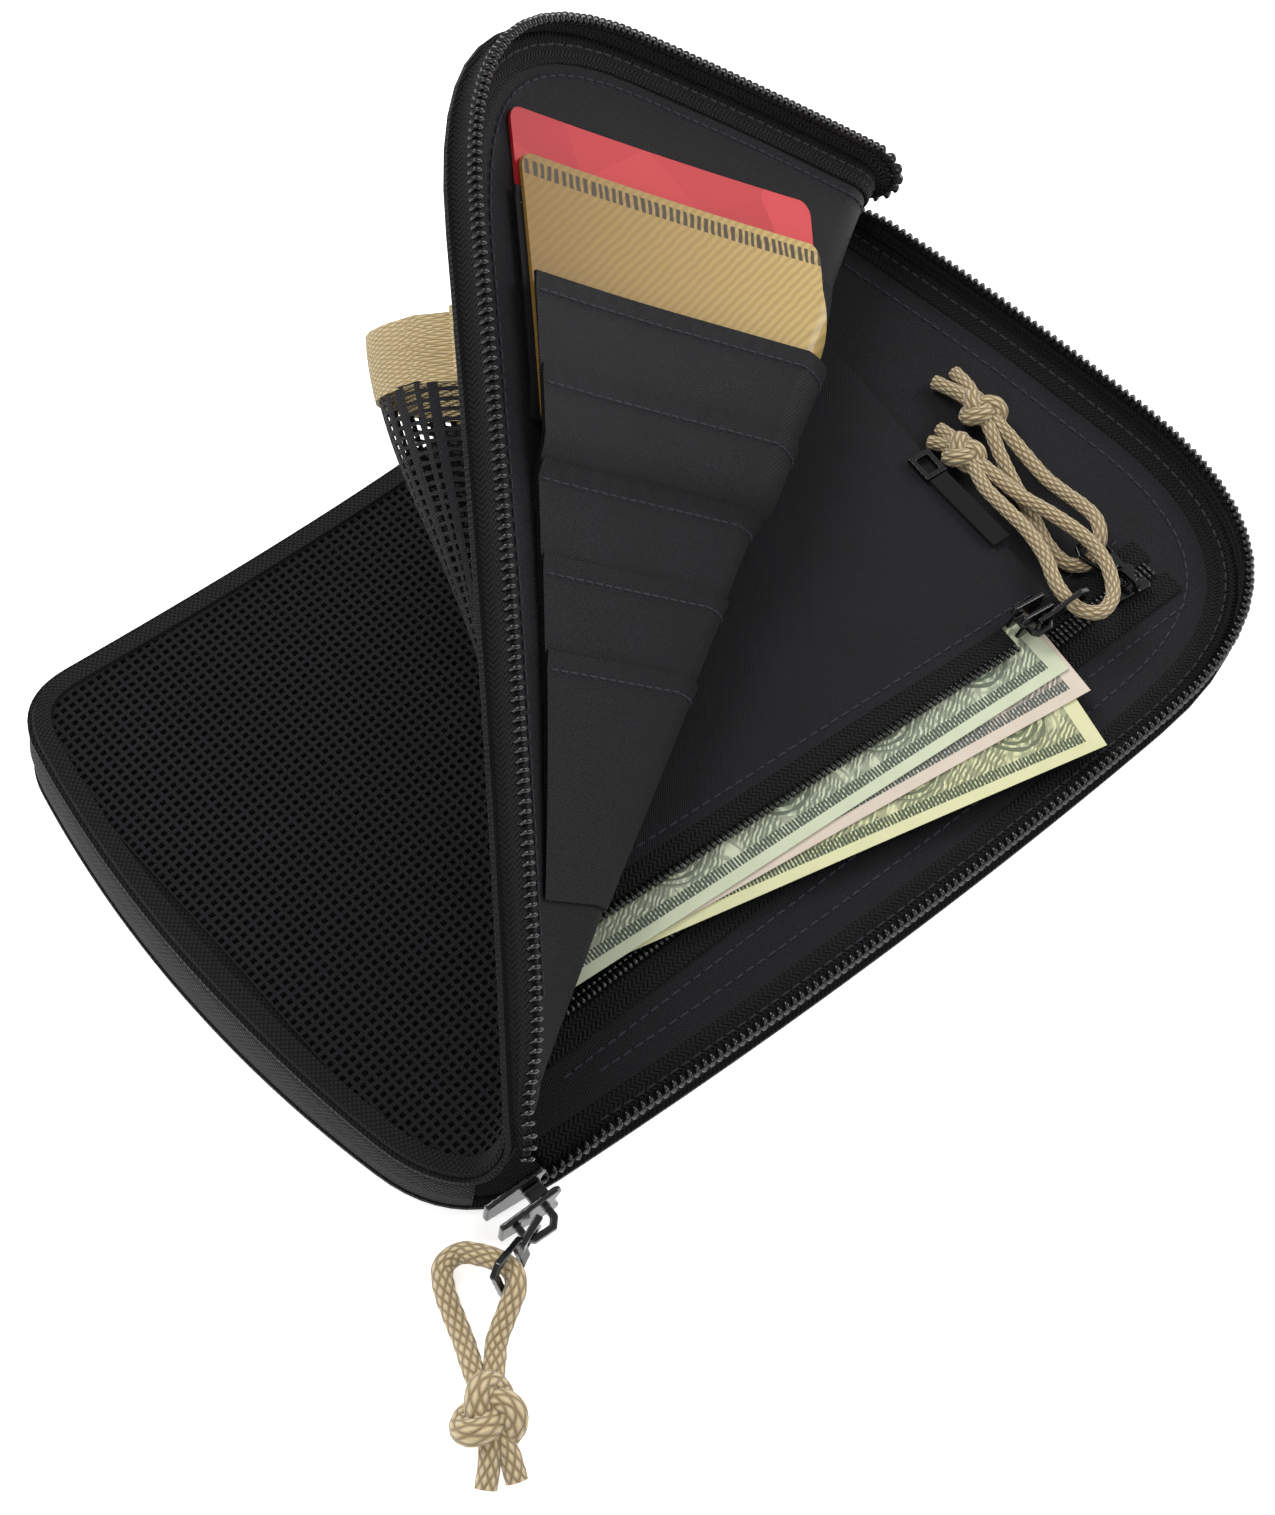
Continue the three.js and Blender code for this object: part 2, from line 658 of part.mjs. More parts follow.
const bindingOut = (x, y) => meshPull(x, y) - (bindingThick - meshThick);
const bindingIn = (x, y) => bindingOut(x, y) + bindingThick;
addPiece('mesh_binding', sheet(bindingStrip, onFront, bindingOut, bindingIn, meshLines), tanWebbing);

// Banknote pouch. It sinks a little towards its far end, away from its mouth.
const onPouch = (x, y, level) => onBack(x, y, level - pouchSink * smooth((y - pouchSinkFrom) / pouchSinkOver));
const sinkLines = { x: [], y: [pouchSinkFrom, 43, 52, 61, pouchSinkFrom + pouchSinkOver] };
const mouthDir = mouthRight.clone().sub(mouthLeft).normalize();
const mouthDown = new THREE.Vector2(mouthDir.y, -mouthDir.x);
const atMouth = (x, down) => {
  const t = (x - mouthLeft.x) / mouthDir.x;
  return mouthLeft.clone().addScaledVector(mouthDir, t).addScaledVector(mouthDown, down);
};
const pouchPlan = [
  mouthLeft, mouthRight,
  new THREE.Vector2(pouchTopRight, pouchTop), new THREE.Vector2(pouchLeft, pouchTop)
];
addPiece('pouch_back', sheet(pouchPlan, onPouch, pouchFloor, pouchFloor + panelThick, sinkLines), liningCloth);
addPiece('pouch_front', sheet(pouchPlan, onPouch, pouchRise, pouchRise + panelThick, sinkLines), liningCloth);

const pouchTapeEnd = pouchSliderX - smallSlider.long / 2 - clear;
const tapePlan = [
  atMouth(mouthLeft.x + 2, clear), atMouth(mouthLeft.x + 2, pouchTape),
  atMouth(pouchTapeEnd, pouchTape), atMouth(pouchTapeEnd, clear)
];
[['lower', pouchFloor], ['upper', pouchRise]].forEach(([side, level]) => {
  const tape = sheet(tapePlan, onPouch, level, level + panelThick, sinkLines);
  addPiece(`pouch_tape_${side}`, tape, tapeCloth);
  const ends = [mouthLeft.x + 3, pouchTapeEnd - 1].map((x) => {
    const p = atMouth(x, pouchTape + clear + smallCoilRadius);
    return onPouch(p.x, p.y, level + smallCoilRadius);
  });
  addPiece(`pouch_coil_${side}`, roundAlong(ends, smallCoilRadius, 8, 6), coilNylon);
});

// Closed zip in the lining, in its own frame: x along it from its right end, y across
const insetFrame = new THREE.Group();
insetFrame.position.set(insetZipRight.x, insetZipRight.y, 0);
insetFrame.rotation.z = insetTurn;
wallet.add(insetFrame);
const insetLow = backLiningTop + clear + 0.4;
const insetInner = smallSlider.neck / 2 + clear;
[['lower', -1], ['upper', 1]].forEach(([side, sign]) => {
  const band = (from, wide, x0, x1) => {
    const [p, q] = [sign * from, sign * (from + wide)];
    return span(x0, x1, Math.min(p, q), Math.max(p, q));
  };
  const tape = band(insetInner + insetCoilWide + clear, insetTape, -insetZipLong, 0);
  addPiece(`inset_tape_${side}`, sheet(tape, onBack, insetLow, insetLow + panelThick), tapeCloth, insetFrame);
  const coil = band(insetInner, insetCoilWide, -insetZipLong + insetTape, -insetTape / 2);
  addPiece(`inset_coil_${side}`, sheet(coil, onBack, insetLow, insetLow + insetCoilHigh), coilNylon, insetFrame);
});

// Banknotes, fanned out of the pouch's mouth
noteCorners.forEach((corner, i) => {
  const turn = THREE.MathUtils.degToRad(corner.turn);
  const along = new THREE.Vector2(-Math.cos(turn), -Math.sin(turn)).multiplyScalar(noteLong);
  const up = new THREE.Vector2(-Math.sin(turn), Math.cos(turn)).multiplyScalar(noteShort);
  const p = new THREE.Vector2(corner.x, corner.y);
  const plan = [p, p.clone().add(up), p.clone().add(up).add(along), p.clone().add(along)];
  const level = noteFloor + notePitch * i;
  addPiece(`banknote_${i + 1}`, sheet(plan, onPouch, level, level + noteThick, sinkLines), paper);
});

// Key leash along the pouch's edge, and its ring
const leashDir = leashTo.clone().sub(leashFrom).normalize();
const leashSide = new THREE.Vector2(leashDir.y, -leashDir.x).multiplyScalar(leashWide / 2);
const leashPlan = [
  leashFrom.clone().sub(leashSide), leashFrom.clone().add(leashSide),
  leashTo.clone().add(leashSide), leashTo.clone().sub(leashSide)
].reverse();
const leashLevel = pouchRise + panelThick + clear;
addPiece('key_leash', sheet(leashPlan, onPouch, leashLevel, leashLevel + leashThick, sinkLines), tapeCloth);
const frameShape = (wide, long, wall) => {
  const shape = new THREE.Shape(span(-wide / 2, wide / 2, 0, long));
  shape.holes.push(new THREE.Path(span(wall - wide / 2, wide / 2 - wall, wall, long - wall).reverse()));
  return shape;
};
const ringGeometry = new THREE.ExtrudeGeometry(frameShape(ringWide, ringLong, ringWire), {
  depth: ringWire, bevelEnabled: false
});
const ring = addPiece('key_ring', tidy(ringGeometry), blackMetal);
const ringAt = leashTo.clone().addScaledVector(leashDir, clear);
ring.position.copy(onPouch(ringAt.x, ringAt.y, leashLevel));
ring.rotation.z = Math.atan2(leashDir.y, leashDir.x) - Math.PI / 2;

// A slider: two plates joined by a neck, and a bail over the outer plate. Its own frame has x
// along the zip towards the open side, z out of the outer plate, and the gap's middle at z = 0.
function sliderSolid(size, bailTurn) {
  const half = size.wide / 2;
  const end = size.long / 2;
  const wing = new THREE.Shape([
    [-end, -0.62 * half], [end - 1, -half], [end, -0.7 * half], [end - 1.6, 0],
    [end, 0.7 * half], [end - 1, half], [-end, 0.62 * half]
  ].map(([x, y]) => new THREE.Vector2(x, y)));
  const plate = toSolid(new THREE.ExtrudeGeometry(wing, { depth: size.plate, bevelEnabled: false }));
  const neck = toSolid(new THREE.BoxGeometry(0.3 * size.long, size.neck, size.gap + size.plate));
  const top = size.gap / 2 + size.plate;
  return plate.translate([0, 0, size.gap / 2])
    .add(plate.translate([0, 0, -top]))
    .add(neck.translate([0.25 * size.long, 0, 0]))
    .add(bailSolid(size).rotate([0, 0, bailTurn]).translate([0, 0, top]));
}

function bailSolid(size) {
  const arch = (reach, top) => [
    [-reach, -size.plate / 2], [reach, -size.plate / 2], [reach, 0.62 * top],
    [0.6 * reach, top], [-0.6 * reach, top], [-reach, 0.62 * top]
  ].map(([x, y]) => new THREE.Vector2(x, y));
  const rod = (outline2d) => {
    const geometry = new THREE.ExtrudeGeometry(new THREE.Shape(outline2d), { depth: size.thick, bevelEnabled: false });
    geometry.translate(0, 0, -size.thick / 2);
    geometry.rotateX(Math.PI / 2);
    return toSolid(geometry);
  };
  const hole = rod(arch(size.window, size.high - size.bar)).scale([1, 1.5, 1]);
  const sole = toSolid(new THREE.BoxGeometry(2 * size.window, size.thick, size.plate / 2));
  return rod(arch(size.window + size.bar, size.high)).subtract(hole)
    .add(sole.translate([0, 0, -size.plate / 4]));
}

// A pull. Its own frame has the eye's end bar at the origin along x, and y towards the slot.
function pullSolid(size, slider) {
  const bar = size.thick / 2;
  const eyeLong = size.thick * 1.5 + slider.window + slider.bar + 2 * clear;
  const tab = size.wide / 2;
  const head = size.head / 2;
  const extrude = (shape) => {
    const geometry = new THREE.ExtrudeGeometry(shape, { depth: size.thick, bevelEnabled: false });
    geometry.translate(0, 0, -bar);
    return toSolid(geometry);
  };
  const eyeOutside = size.eyeWide + 2 * size.thick;
  const square = toSolid(new THREE.BoxGeometry(size.eyeWide, size.thick, size.thick));
  const barRound = 0.94 * bar;
  const round = toSolid(new THREE.CylinderGeometry(barRound, barRound, size.eyeWide + size.thick, 24))
    .rotate([0, 0, 90]);
  const eye = extrude(frameShape(eyeOutside, eyeLong, size.thick)).translate([0, -bar, 0])
    .subtract(square).add(round);
  const start = eyeLong - size.thick - bar;
  const plate = new THREE.Shape([
    [-head, start], [head, start], [tab, size.long - 2.4], [tab - 1.4, size.long],
    [1.4 - tab, size.long], [-tab, size.long - 2.4]
  ].map(([x, y]) => new THREE.Vector2(x, y)));
  const slotTopY = size.long - size.thick;
  const slot = span(-size.slotWide / 2, size.slotWide / 2, slotTopY - size.slotLong, slotTopY);
  plate.holes.push(new THREE.Path(slot.reverse()));
  return eye.add(extrude(plate).rotate([0, size.twist, 0]));
}

// Puts a slider and its pull: centre, direction of the open side, outward normal, turn of the
// bail in the plate's plane, and how far the pull is raised from the plate towards the bail
function addSlider(name, size, pullSize, centre, open, out, bailTurn, raise) {
  const z = out.clone().normalize();
  const y = z.clone().cross(open).normalize();
  const x = y.clone().cross(z);
  const frame = new THREE.Group();
  frame.position.copy(centre);
  frame.quaternion.setFromRotationMatrix(new THREE.Matrix4().makeBasis(x, y, z));
  wallet.add(frame);
  addPiece(`${name}_slider`, fromSolid(sliderSolid(size, bailTurn)), blackMetal, frame);
  const pivot = new THREE.Group();
  pivot.position.z = size.gap / 2 + size.plate + (size.high - size.bar) / 2;
  pivot.rotation.z = THREE.MathUtils.degToRad(bailTurn + 90);
  frame.add(pivot);
  const swing = new THREE.Group();
  swing.rotation.x = THREE.MathUtils.degToRad(raise);
  pivot.add(swing);
  addPiece(`${name}_pull`, fromSolid(pullSolid(pullSize, size)), blackMetal, swing);
}

const upward = new THREE.Vector3(0, 0, 1);
const mainEdge = edgeAt(mainSliderAt.along);
const mainTurn = THREE.MathUtils.degToRad(mainSliderAt.turnDeg);
const openWay = new THREE.Vector3(mainEdge.inY, -mainEdge.inX, 0).applyAxisAngle(upward, mainTurn);
const outWay = new THREE.Vector3(-mainEdge.inX, -mainEdge.inY, 0).applyAxisAngle(upward, mainTurn);
const mainCentre = new THREE.Vector3(
  mainEdge.x - mainEdge.inX * mainSliderAt.out,
  mainEdge.y - mainEdge.inY * mainSliderAt.out,
  mainSliderAt.height
);
addSlider('main', mainSlider, mainPull, mainCentre, openWay, outWay, 0, mainPullRaise);
const pouchSliderAt = atMouth(pouchSliderX, smallSlider.gap / 2 + smallSlider.plate + clear);
const noteTop = noteFloor + notePitch * noteCorners.length;
const pouchSliderHeight = noteTop + clear + smallSlider.wide / 2;
addSlider('pouch', smallSlider, smallPull,
  new THREE.Vector3(pouchSliderAt.x, pouchSliderAt.y, pouchSliderHeight),
  new THREE.Vector3(-mouthDir.x, -mouthDir.y, 0), new THREE.Vector3(mouthDown.x, mouthDown.y, 0),
  0, pouchPullRaise);
const insetSliderAt = insetZipRight.clone().addScaledVector(alongInset, -insetSliderFromEnd);
addSlider('inset', smallSlider, smallPull,
  new THREE.Vector3(insetSliderAt.x, insetSliderAt.y, backLiningLow + smallSlider.plate + smallSlider.gap / 2),
  new THREE.Vector3(alongInset.x, alongInset.y, 0), upward, insetPullYaw - 90, insetPullRaise);

// Cords and their knots
const vectors = (route) => route.map(([x, y, z]) => new THREE.Vector3(x, y, z));
function addCord(name, route, thick, steps, knot) {
  addPiece(`${name}_cord`, roundAlong(vectors(route), thick / 2, steps), tanCord);
  const ball = toSolid(new THREE.IcosahedronGeometry(1, 1)).scale(knot.half).rotate([0, 0, knot.turn]).translate(knot.at);
  const tails = knot.tails.map((end) => {
    const [from, to] = vectors([[knot.at[0], knot.at[1], end[2]], end]);
    const rod = new THREE.CylinderGeometry(thick / 2, thick / 2, from.distanceTo(to), 8);
    rod.rotateX(Math.PI / 2);
    rod.lookAt(to.clone().sub(from));
    return toSolid(rod).translate(from.lerp(to, 0.5).toArray());
  });
  addPiece(`${name}_knot`, fromSolid(tails.reduce((sum, tail) => sum.add(tail), ball)), tanCord);
}
addCord('main', mainCordRoute, mainCord, 32, mainKnot);
addCord('pouch', pouchCordRoute, smallCord, 40, pouchKnot);
addCord('inset', insetCordRoute, smallCord, 40, insetKnot);

export default wallet;
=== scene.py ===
"""Zip-around travel wallet, lying open at one corner. Lengths are in the part's own millimetres
until they go into a mesh, where they become metres."""
import math

import bmesh
import bpy
import numpy as np
from mathutils import Matrix, Vector


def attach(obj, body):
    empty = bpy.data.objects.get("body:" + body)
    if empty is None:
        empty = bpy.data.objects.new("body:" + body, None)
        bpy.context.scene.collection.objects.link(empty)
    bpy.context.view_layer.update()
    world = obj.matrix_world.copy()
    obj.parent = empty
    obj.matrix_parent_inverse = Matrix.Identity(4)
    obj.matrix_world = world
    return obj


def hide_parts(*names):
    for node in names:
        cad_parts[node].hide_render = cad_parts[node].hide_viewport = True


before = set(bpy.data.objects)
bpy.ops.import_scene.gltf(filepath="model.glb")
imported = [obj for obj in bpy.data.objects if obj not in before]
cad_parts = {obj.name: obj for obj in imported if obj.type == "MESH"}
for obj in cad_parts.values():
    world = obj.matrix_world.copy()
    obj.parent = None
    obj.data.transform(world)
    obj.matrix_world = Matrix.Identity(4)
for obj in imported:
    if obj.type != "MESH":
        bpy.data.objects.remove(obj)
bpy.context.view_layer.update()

MM = 0.001
ORIGIN = np.array([104.0, 64.0, 0.0])

# Camera, from the photo's perspective
camera = bpy.data.objects.new("camera", bpy.data.cameras.new("camera"))
camera.data.lens = 70.12
camera.data.sensor_width = 36
camera.data.clip_start = 0.01
right = Vector((0.7306, -0.6756, 0.099))
down = Vector((-0.5548, -0.672, -0.4905))
ahead = Vector((0.3979, 0.3034, -0.8658))
turn = Matrix((right, -down, -ahead)).transposed().to_4x4()
camera.matrix_world = Matrix.Translation((-0.25237, -0.18705, 0.5034)) @ turn
bpy.context.scene.collection.objects.link(camera)
bpy.context.scene.camera = camera


# ---- Shapes shared with the CAD -------------------------------------------------------------
def smooth(t):
    t = np.clip(t, 0, 1)
    return t * t * (3 - 2 * t)


CLEAR = 0.3
SHELL = 1.0
LINING = 0.4
FRONT_HEIGHT = 13
ROLL = math.radians(29.5)
ROLL_SETBACK = 8
ROLL_RADIUS = 6.2
ROLL_DIR = np.array([math.cos(ROLL), math.sin(ROLL)])
ROLL_SIDE = np.array([math.sin(ROLL), -math.cos(ROLL)])
CORNERS = [(-8, 0, 20, 5), (223, -9, 54, 4), (209, 141, 9, -7), (-8, 132, 12, 9)]


def make_outline(side_steps=60, corner_steps=12):
    sides = []
    for i, (px, py, cut, bow) in enumerate(CORNERS):
        qx, qy, next_cut, _ = CORNERS[(i + 1) % 4]
        length = math.hypot(qx - px, qy - py)
        steps = max(3, round(side_steps * length / 230))
        t = cut / length + (1 - next_cut / length - cut / length) * np.arange(steps + 1) / steps
        out = bow * 4 * t * (1 - t) / length
        sides.append(np.stack([
            px + (qx - px) * t + (qy - py) * out,
            py + (qy - py) * t - (qx - px) * out], 1))
    points = []
    for i, side in enumerate(sides):
        after = sides[(i + 1) % 4]
        points.extend(side)
        a, b = side[-1], after[0]
        da, db = a - side[-2], after[1] - b
        k = ((b[0] - a[0]) * db[1] - (b[1] - a[1]) * db[0]) / (da[0] * db[1] - da[1] * db[0])
        tip = a + da * k
        for j in range(1, corner_steps):
            t = j / corner_steps
            points.append(a * (1 - t) ** 2 + tip * 2 * t * (1 - t) + b * t * t)
    return np.array(points)


OUTLINE = make_outline()
EDGE_STEPS = np.linalg.norm(np.roll(OUTLINE, -1, 0) - OUTLINE, axis=1)
EDGE_AT = np.concatenate([[0], np.cumsum(EDGE_STEPS)])
EDGE_TOTAL = EDGE_AT[-1]


def inset_loop(points, inset):
    d = np.roll(points, -1, 0) - np.roll(points, 1, 0)
    d /= np.linalg.norm(d, axis=1, keepdims=True)
    return points + inset * np.stack([-d[:, 1], d[:, 0]], 1)


def edge_at(along, inset=0.0):
    """Points on the outline at lengths along it, moved inwards, and the inward directions."""
    s = np.mod(along, EDGE_TOTAL)
    closed = np.vstack([OUTLINE, OUTLINE[:1]])
    p = np.stack([np.interp(s, EDGE_AT, closed[:, k]) for k in (0, 1)], 1)
    q = np.stack([np.interp(np.mod(s + 1.5, EDGE_TOTAL), EDGE_AT, closed[:, k]) for k in (0, 1)], 1)
    o = np.stack([np.interp(np.mod(s - 1.5, EDGE_TOTAL), EDGE_AT, closed[:, k]) for k in (0, 1)], 1)
    d = (q - o) / np.linalg.norm(q - o, axis=1, keepdims=True)
    inward = np.stack([-d[:, 1], d[:, 0]], 1)
    return p + inward * inset, inward


def on_front(x, y, depth):
    along = x * ROLL_DIR[0] + y * ROLL_DIR[1]
    across = x * ROLL_SIDE[0] + y * ROLL_SIDE[1] + ROLL_SETBACK
    flat = FRONT_HEIGHT + 4 * smooth(-across / 55) * (1 - smooth(x / 120)) - depth
    fold = 2.2 + 0.3 * along / 255
    angle = np.minimum(np.maximum(across, 0) / ROLL_RADIUS, fold)
    rest = np.maximum(across - ROLL_RADIUS * fold, 0)
    reach = (ROLL_RADIUS + depth) * np.sin(angle) + rest * np.cos(fold) - ROLL_SETBACK
    rise = ROLL_RADIUS - (ROLL_RADIUS + depth) * np.cos(angle) + rest * np.sin(fold)
    rolled = across > 0
    return np.stack([
        np.where(rolled, along * ROLL_DIR[0] + reach * ROLL_SIDE[0], x),
        np.where(rolled, along * ROLL_DIR[1] + reach * ROLL_SIDE[1], y),
        np.where(rolled, FRONT_HEIGHT + rise, flat)], -1)


def on_back(x, y, level):
    return np.stack([x, y, level + 0 * x], -1)


def on_pouch(x, y, level):
    return np.stack([x, y, level - 1.8 * smooth((y - 34) / 36)], -1)


def mesh_pull(x, y):
    towards = smooth((x - 20) / 136) ** 2
    slack = np.sin(np.pi * np.clip((y - 1) / 62, 0, 1) ** 0.6)
    return -0.9 - 13 * towards * slack


def on_mesh(x, y, depth):
    """The pocket's outside hangs loose of the peeled flap towards its mouth."""
    hang = 21 * smooth((x - 15) / 140) ** 2 * np.sin(np.pi * np.clip((y + 3) / 52, 0, 1) ** 0.5)
    return on_front(x, y, depth) + hang[..., None] * np.array([-0.73, 0.676, -0.12])


# Braid: length of one strand's turn and strands each way
BRAID_PITCH, BRAID_STRANDS = 2.9, 8
CORD_SIDES = 32


# ---- Materials ------------------------------------------------------------------------------
def srgb(hexcode):
    channels = [int(hexcode[i:i + 2], 16) / 255 for i in (1, 3, 5)]
    return tuple(c / 12.92 if c <= 0.04045 else ((c + 0.055) / 1.055) ** 2.4 for c in channels) + (1,)


# A wave texture of scale 1 repeats each 0.314159 units
WAVE_PERIOD = 0.314159


class Nodes:
    """A material's node tree, one call per node."""

    def __init__(self, name, roughness=0.6, **shader):
        self.material = bpy.data.materials.new(name)
        self.material.use_nodes = True
        self.tree = self.material.node_tree
        self.shader = self.tree.nodes["Principled BSDF"]
        self.set("Roughness", roughness)
        for key, value in shader.items():
            self.set(key.replace("_", " "), value)

    def set(self, socket, value):
        self.link(value, self.shader.inputs[socket])

    def link(self, value, socket):
        if isinstance(value, bpy.types.NodeSocket):
            self.tree.links.new(value, socket)
        else:
            socket.default_value = value

    def add(self, kind, output=0, inputs=None, **settings):
        node = self.tree.nodes.new("ShaderNode" + kind)
        for key, value in settings.items():
            setattr(node, key, value)
        for key, value in (inputs or {}).items():
            self.link(value, node.inputs[key])
        return node.outputs[output]

    def uv(self, scale=(1, 1, 1), angle=0.0, offset=(0, 0, 0)):
        plan = self.add("UVMap", uv_map="UVMap")
        return self.add("Mapping", inputs={
            "Vector": plan, "Scale": scale, "Rotation": (0, 0, angle), "Location": offset})

    def wave(self, vector, period, direction="X", distortion=0.0):
        inputs = {"Vector": vector, "Scale": WAVE_PERIOD / period, "Distortion": distortion}
        return self.add("TexWave", inputs=inputs, bands_direction=direction)

    def noise(self, vector, size, detail=2.0, rough=0.5):
        return self.add("TexNoise", inputs={
            "Vector": vector, "Scale": 1 / size, "Detail": detail, "Roughness": rough})

    def math(self, operation, a, b=0.0, c=0.0):
        return self.add("Math", inputs={0: a, 1: b, 2: c}, operation=operation)

    def ramp(self, value, low, high, bottom=0.0, top=1.0):
        return self.add("MapRange", inputs={
            "Value": value, "From Min": low, "From Max": high, "To Min": bottom, "To Max": top})

    def mix(self, factor, a, b):
        node = self.tree.nodes.new("ShaderNodeMix")
        node.data_type = "RGBA"
        for value, socket in ((factor, node.inputs[0]), (a, node.inputs[6]), (b, node.inputs[7])):
            self.link(srgb(value) if isinstance(value, str) else value, socket)
        return node.outputs[2]

    def bump(self, height, distance, strength=1.0):
        self.set("Normal", self.add("Bump", inputs={
            "Height": height, "Distance": distance * MM, "Strength": strength}))


def cloth(name, dark, light, warp, weft, angle=0.0, depth=0.25, roughness=0.75, sheen=0.25, specular=0.22):
    """Woven nylon: warp and weft are thread pitches in millimetres. The colour follows the weave's relief,
    with a painted highlight on the raised threads and painted shade between them, over random patches of
    tone.
    """
    m = Nodes(name, roughness, Sheen_Weight=sheen, Sheen_Roughness=0.5, Specular_IOR_Level=specular)
    uv = m.uv(angle=angle)
    over = m.wave(uv, warp)
    under = m.wave(uv, weft, "Y")
    checker = m.math("ABSOLUTE", m.math("SUBTRACT", over, under))
    grain = m.noise(uv, 0.35)
    patches = m.noise(uv, 14, 3)
    height = m.math("ADD", checker, m.math("MULTIPLY", grain, 0.4))
    shade = m.math("ADD", m.math("MULTIPLY", height, 0.55), m.math("MULTIPLY", patches, 0.5))
    # Base colour is lighter where the weave stands up: a painted highlight on the raised threads and painted
    # shade between them. The patches are random tone.
    m.set("Base Color", m.mix(m.ramp(shade, 0.25, 0.95), dark, light))
    m.bump(height, depth)
    return m.material


def knit(name, dark, light, pitch, depth=0.35):
    """Knitted zip tape: V-shaped stitches in rows along the zip, with a painted highlight on the raised rows
    and painted shade between them, over random grain.
    """
    m = Nodes(name, 0.75, Sheen_Weight=0.03, Specular_IOR_Level=0.2)
    uv = m.uv()
    parts = m.add("SeparateXYZ", inputs={"Vector": uv})
    zigzag = m.math("PINGPONG", m.add("SeparateXYZ", 1, inputs={"Vector": uv}), pitch * 0.9)
    along = m.math("ADD", parts, zigzag)
    rows = m.math("SINE", m.math("MULTIPLY", along, 2 * math.pi / pitch))
    grain = m.noise(uv, 0.3)
    height = m.math("ADD", m.ramp(rows, -1, 1), m.math("MULTIPLY", grain, 0.5))
    # Base colour follows the stitch relief: a painted highlight on the raised rows and painted shade between
    # them, with random grain.
    m.set("Base Color", m.mix(m.ramp(height, 0.2, 1.3), dark, light))
    m.bump(height, depth)
    return m.material


def gloss(name, colour, roughness, coat=0.6, wear=0.04):
    m = Nodes(name, roughness, Coat_Weight=coat, Coat_Roughness=0.1, Specular_IOR_Level=0.35)
    spot = m.add("TexCoord", 3)
    m.set("Base Color", m.mix(m.noise(spot, 1.5 * MM), colour, "#101012"))
    m.bump(m.noise(spot, 0.9 * MM, 3), wear)
    return m.material


def braid(name, pitch, around):
    """Braided cord: UV x runs round in turns, y along in millimetres. The crossing strands get a painted
    highlight on their crowns and painted shade in the grooves, over fibre tone.
    """
    m = Nodes(name, 0.72, Sheen_Weight=0.3)
    tan_dark, tan_light = "#7d6844", "#c9b58c"
    uv = m.uv()
    turns = m.add("SeparateXYZ", inputs={"Vector": uv})
    along = m.math("DIVIDE", m.add("SeparateXYZ", 1, inputs={"Vector": uv}), pitch)
    a = m.math("FRACT", m.math("ADD", m.math("MULTIPLY", turns, around), along))
    b = m.math("FRACT", m.math("SUBTRACT", m.math("MULTIPLY", turns, around), along))
    ridge_a = m.math("SINE", m.math("MULTIPLY", a, math.pi))
    ridge_b = m.math("SINE", m.math("MULTIPLY", b, math.pi))
    height = m.math("MULTIPLY", ridge_a, ridge_b)
    fibres = m.noise(m.uv(scale=(40, 3, 1)), 1.0)
    # Painted highlight on the strand crowns and painted shade in the grooves, with random fibre tone on top.
    shade = m.math("ADD", m.ramp(height, 0.05, 0.75), m.math("MULTIPLY", fibres, 0.35))
    m.set("Base Color", m.mix(m.ramp(shade, 0.1, 1.2), tan_dark, tan_light))
    m.bump(m.math("ADD", height, m.math("MULTIPLY", fibres, 0.15)), 0.5)
    return m.material


# Pack cloth: woven nylon in a coarse basket weave, dull, with a painted highlight only on the raised threads
shell_cloth = cloth("pack_cloth_woven", "#060507", "#141216", 1.1, 1.1, depth=0.35, sheen=0.04)
# Lining: fine nylon twill on the slant, smoother than the shell, with a faint violet cast
lining_cloth = cloth("lining_nylon_twill", "#070509", "#100e14", 0.55, 0.8, angle=0.6,
                     depth=0.12, roughness=0.6, sheen=0.03)
# Pockets: plain-woven nylon, a shade lighter and soft in its light
panel_cloth = cloth("pocket_nylon_plain_weave", "#080609", "#131017", 0.6, 0.6,
                    depth=0.12, roughness=0.6, sheen=0.03)
# Mesh: knitted polyester yarn, dull and thin, dark where the holes let the shell show
mesh_yarn = cloth("pocket_mesh_knitted", "#08070a", "#16141a", 0.5, 0.7, depth=0.2, sheen=0.04)
# Zip tape: knitted polyester with rows of V-shaped stitches, the blackest of the cloths
tape_knit = knit("zip_tape_knitted", "#020202", "#0e0f0e", 1.1)
# Binding: tan woven webbing, matt, with ribs across it
webbing = cloth("binding_webbing_woven", "#9c8558", "#cdb98c", 0.9, 1.3, depth=0.4, roughness=0.85)
# Coil: nylon monofilament, smooth and glossy, so each loop has a bright point
coil_gloss = gloss("coil_nylon_monofilament", "#060607", 0.26, 0.4)
# Sliders and pulls: cast zinc under black enamel, glossy, with soft edges that catch light
enamel = gloss("slider_metal_enamelled", "#050506", 0.24, 0.35)
# Thread: spun polyester, a little lighter than the cloth it sews
thread = cloth("sewing_thread_spun", "#1d1b21", "#45424c", 0.4, 0.4, depth=0.1, sheen=0.05)
# Cord: tan braided nylon, crossing strands, dull with a soft fuzz
cord_braid = braid("cord_braided", BRAID_PITCH, BRAID_STRANDS)


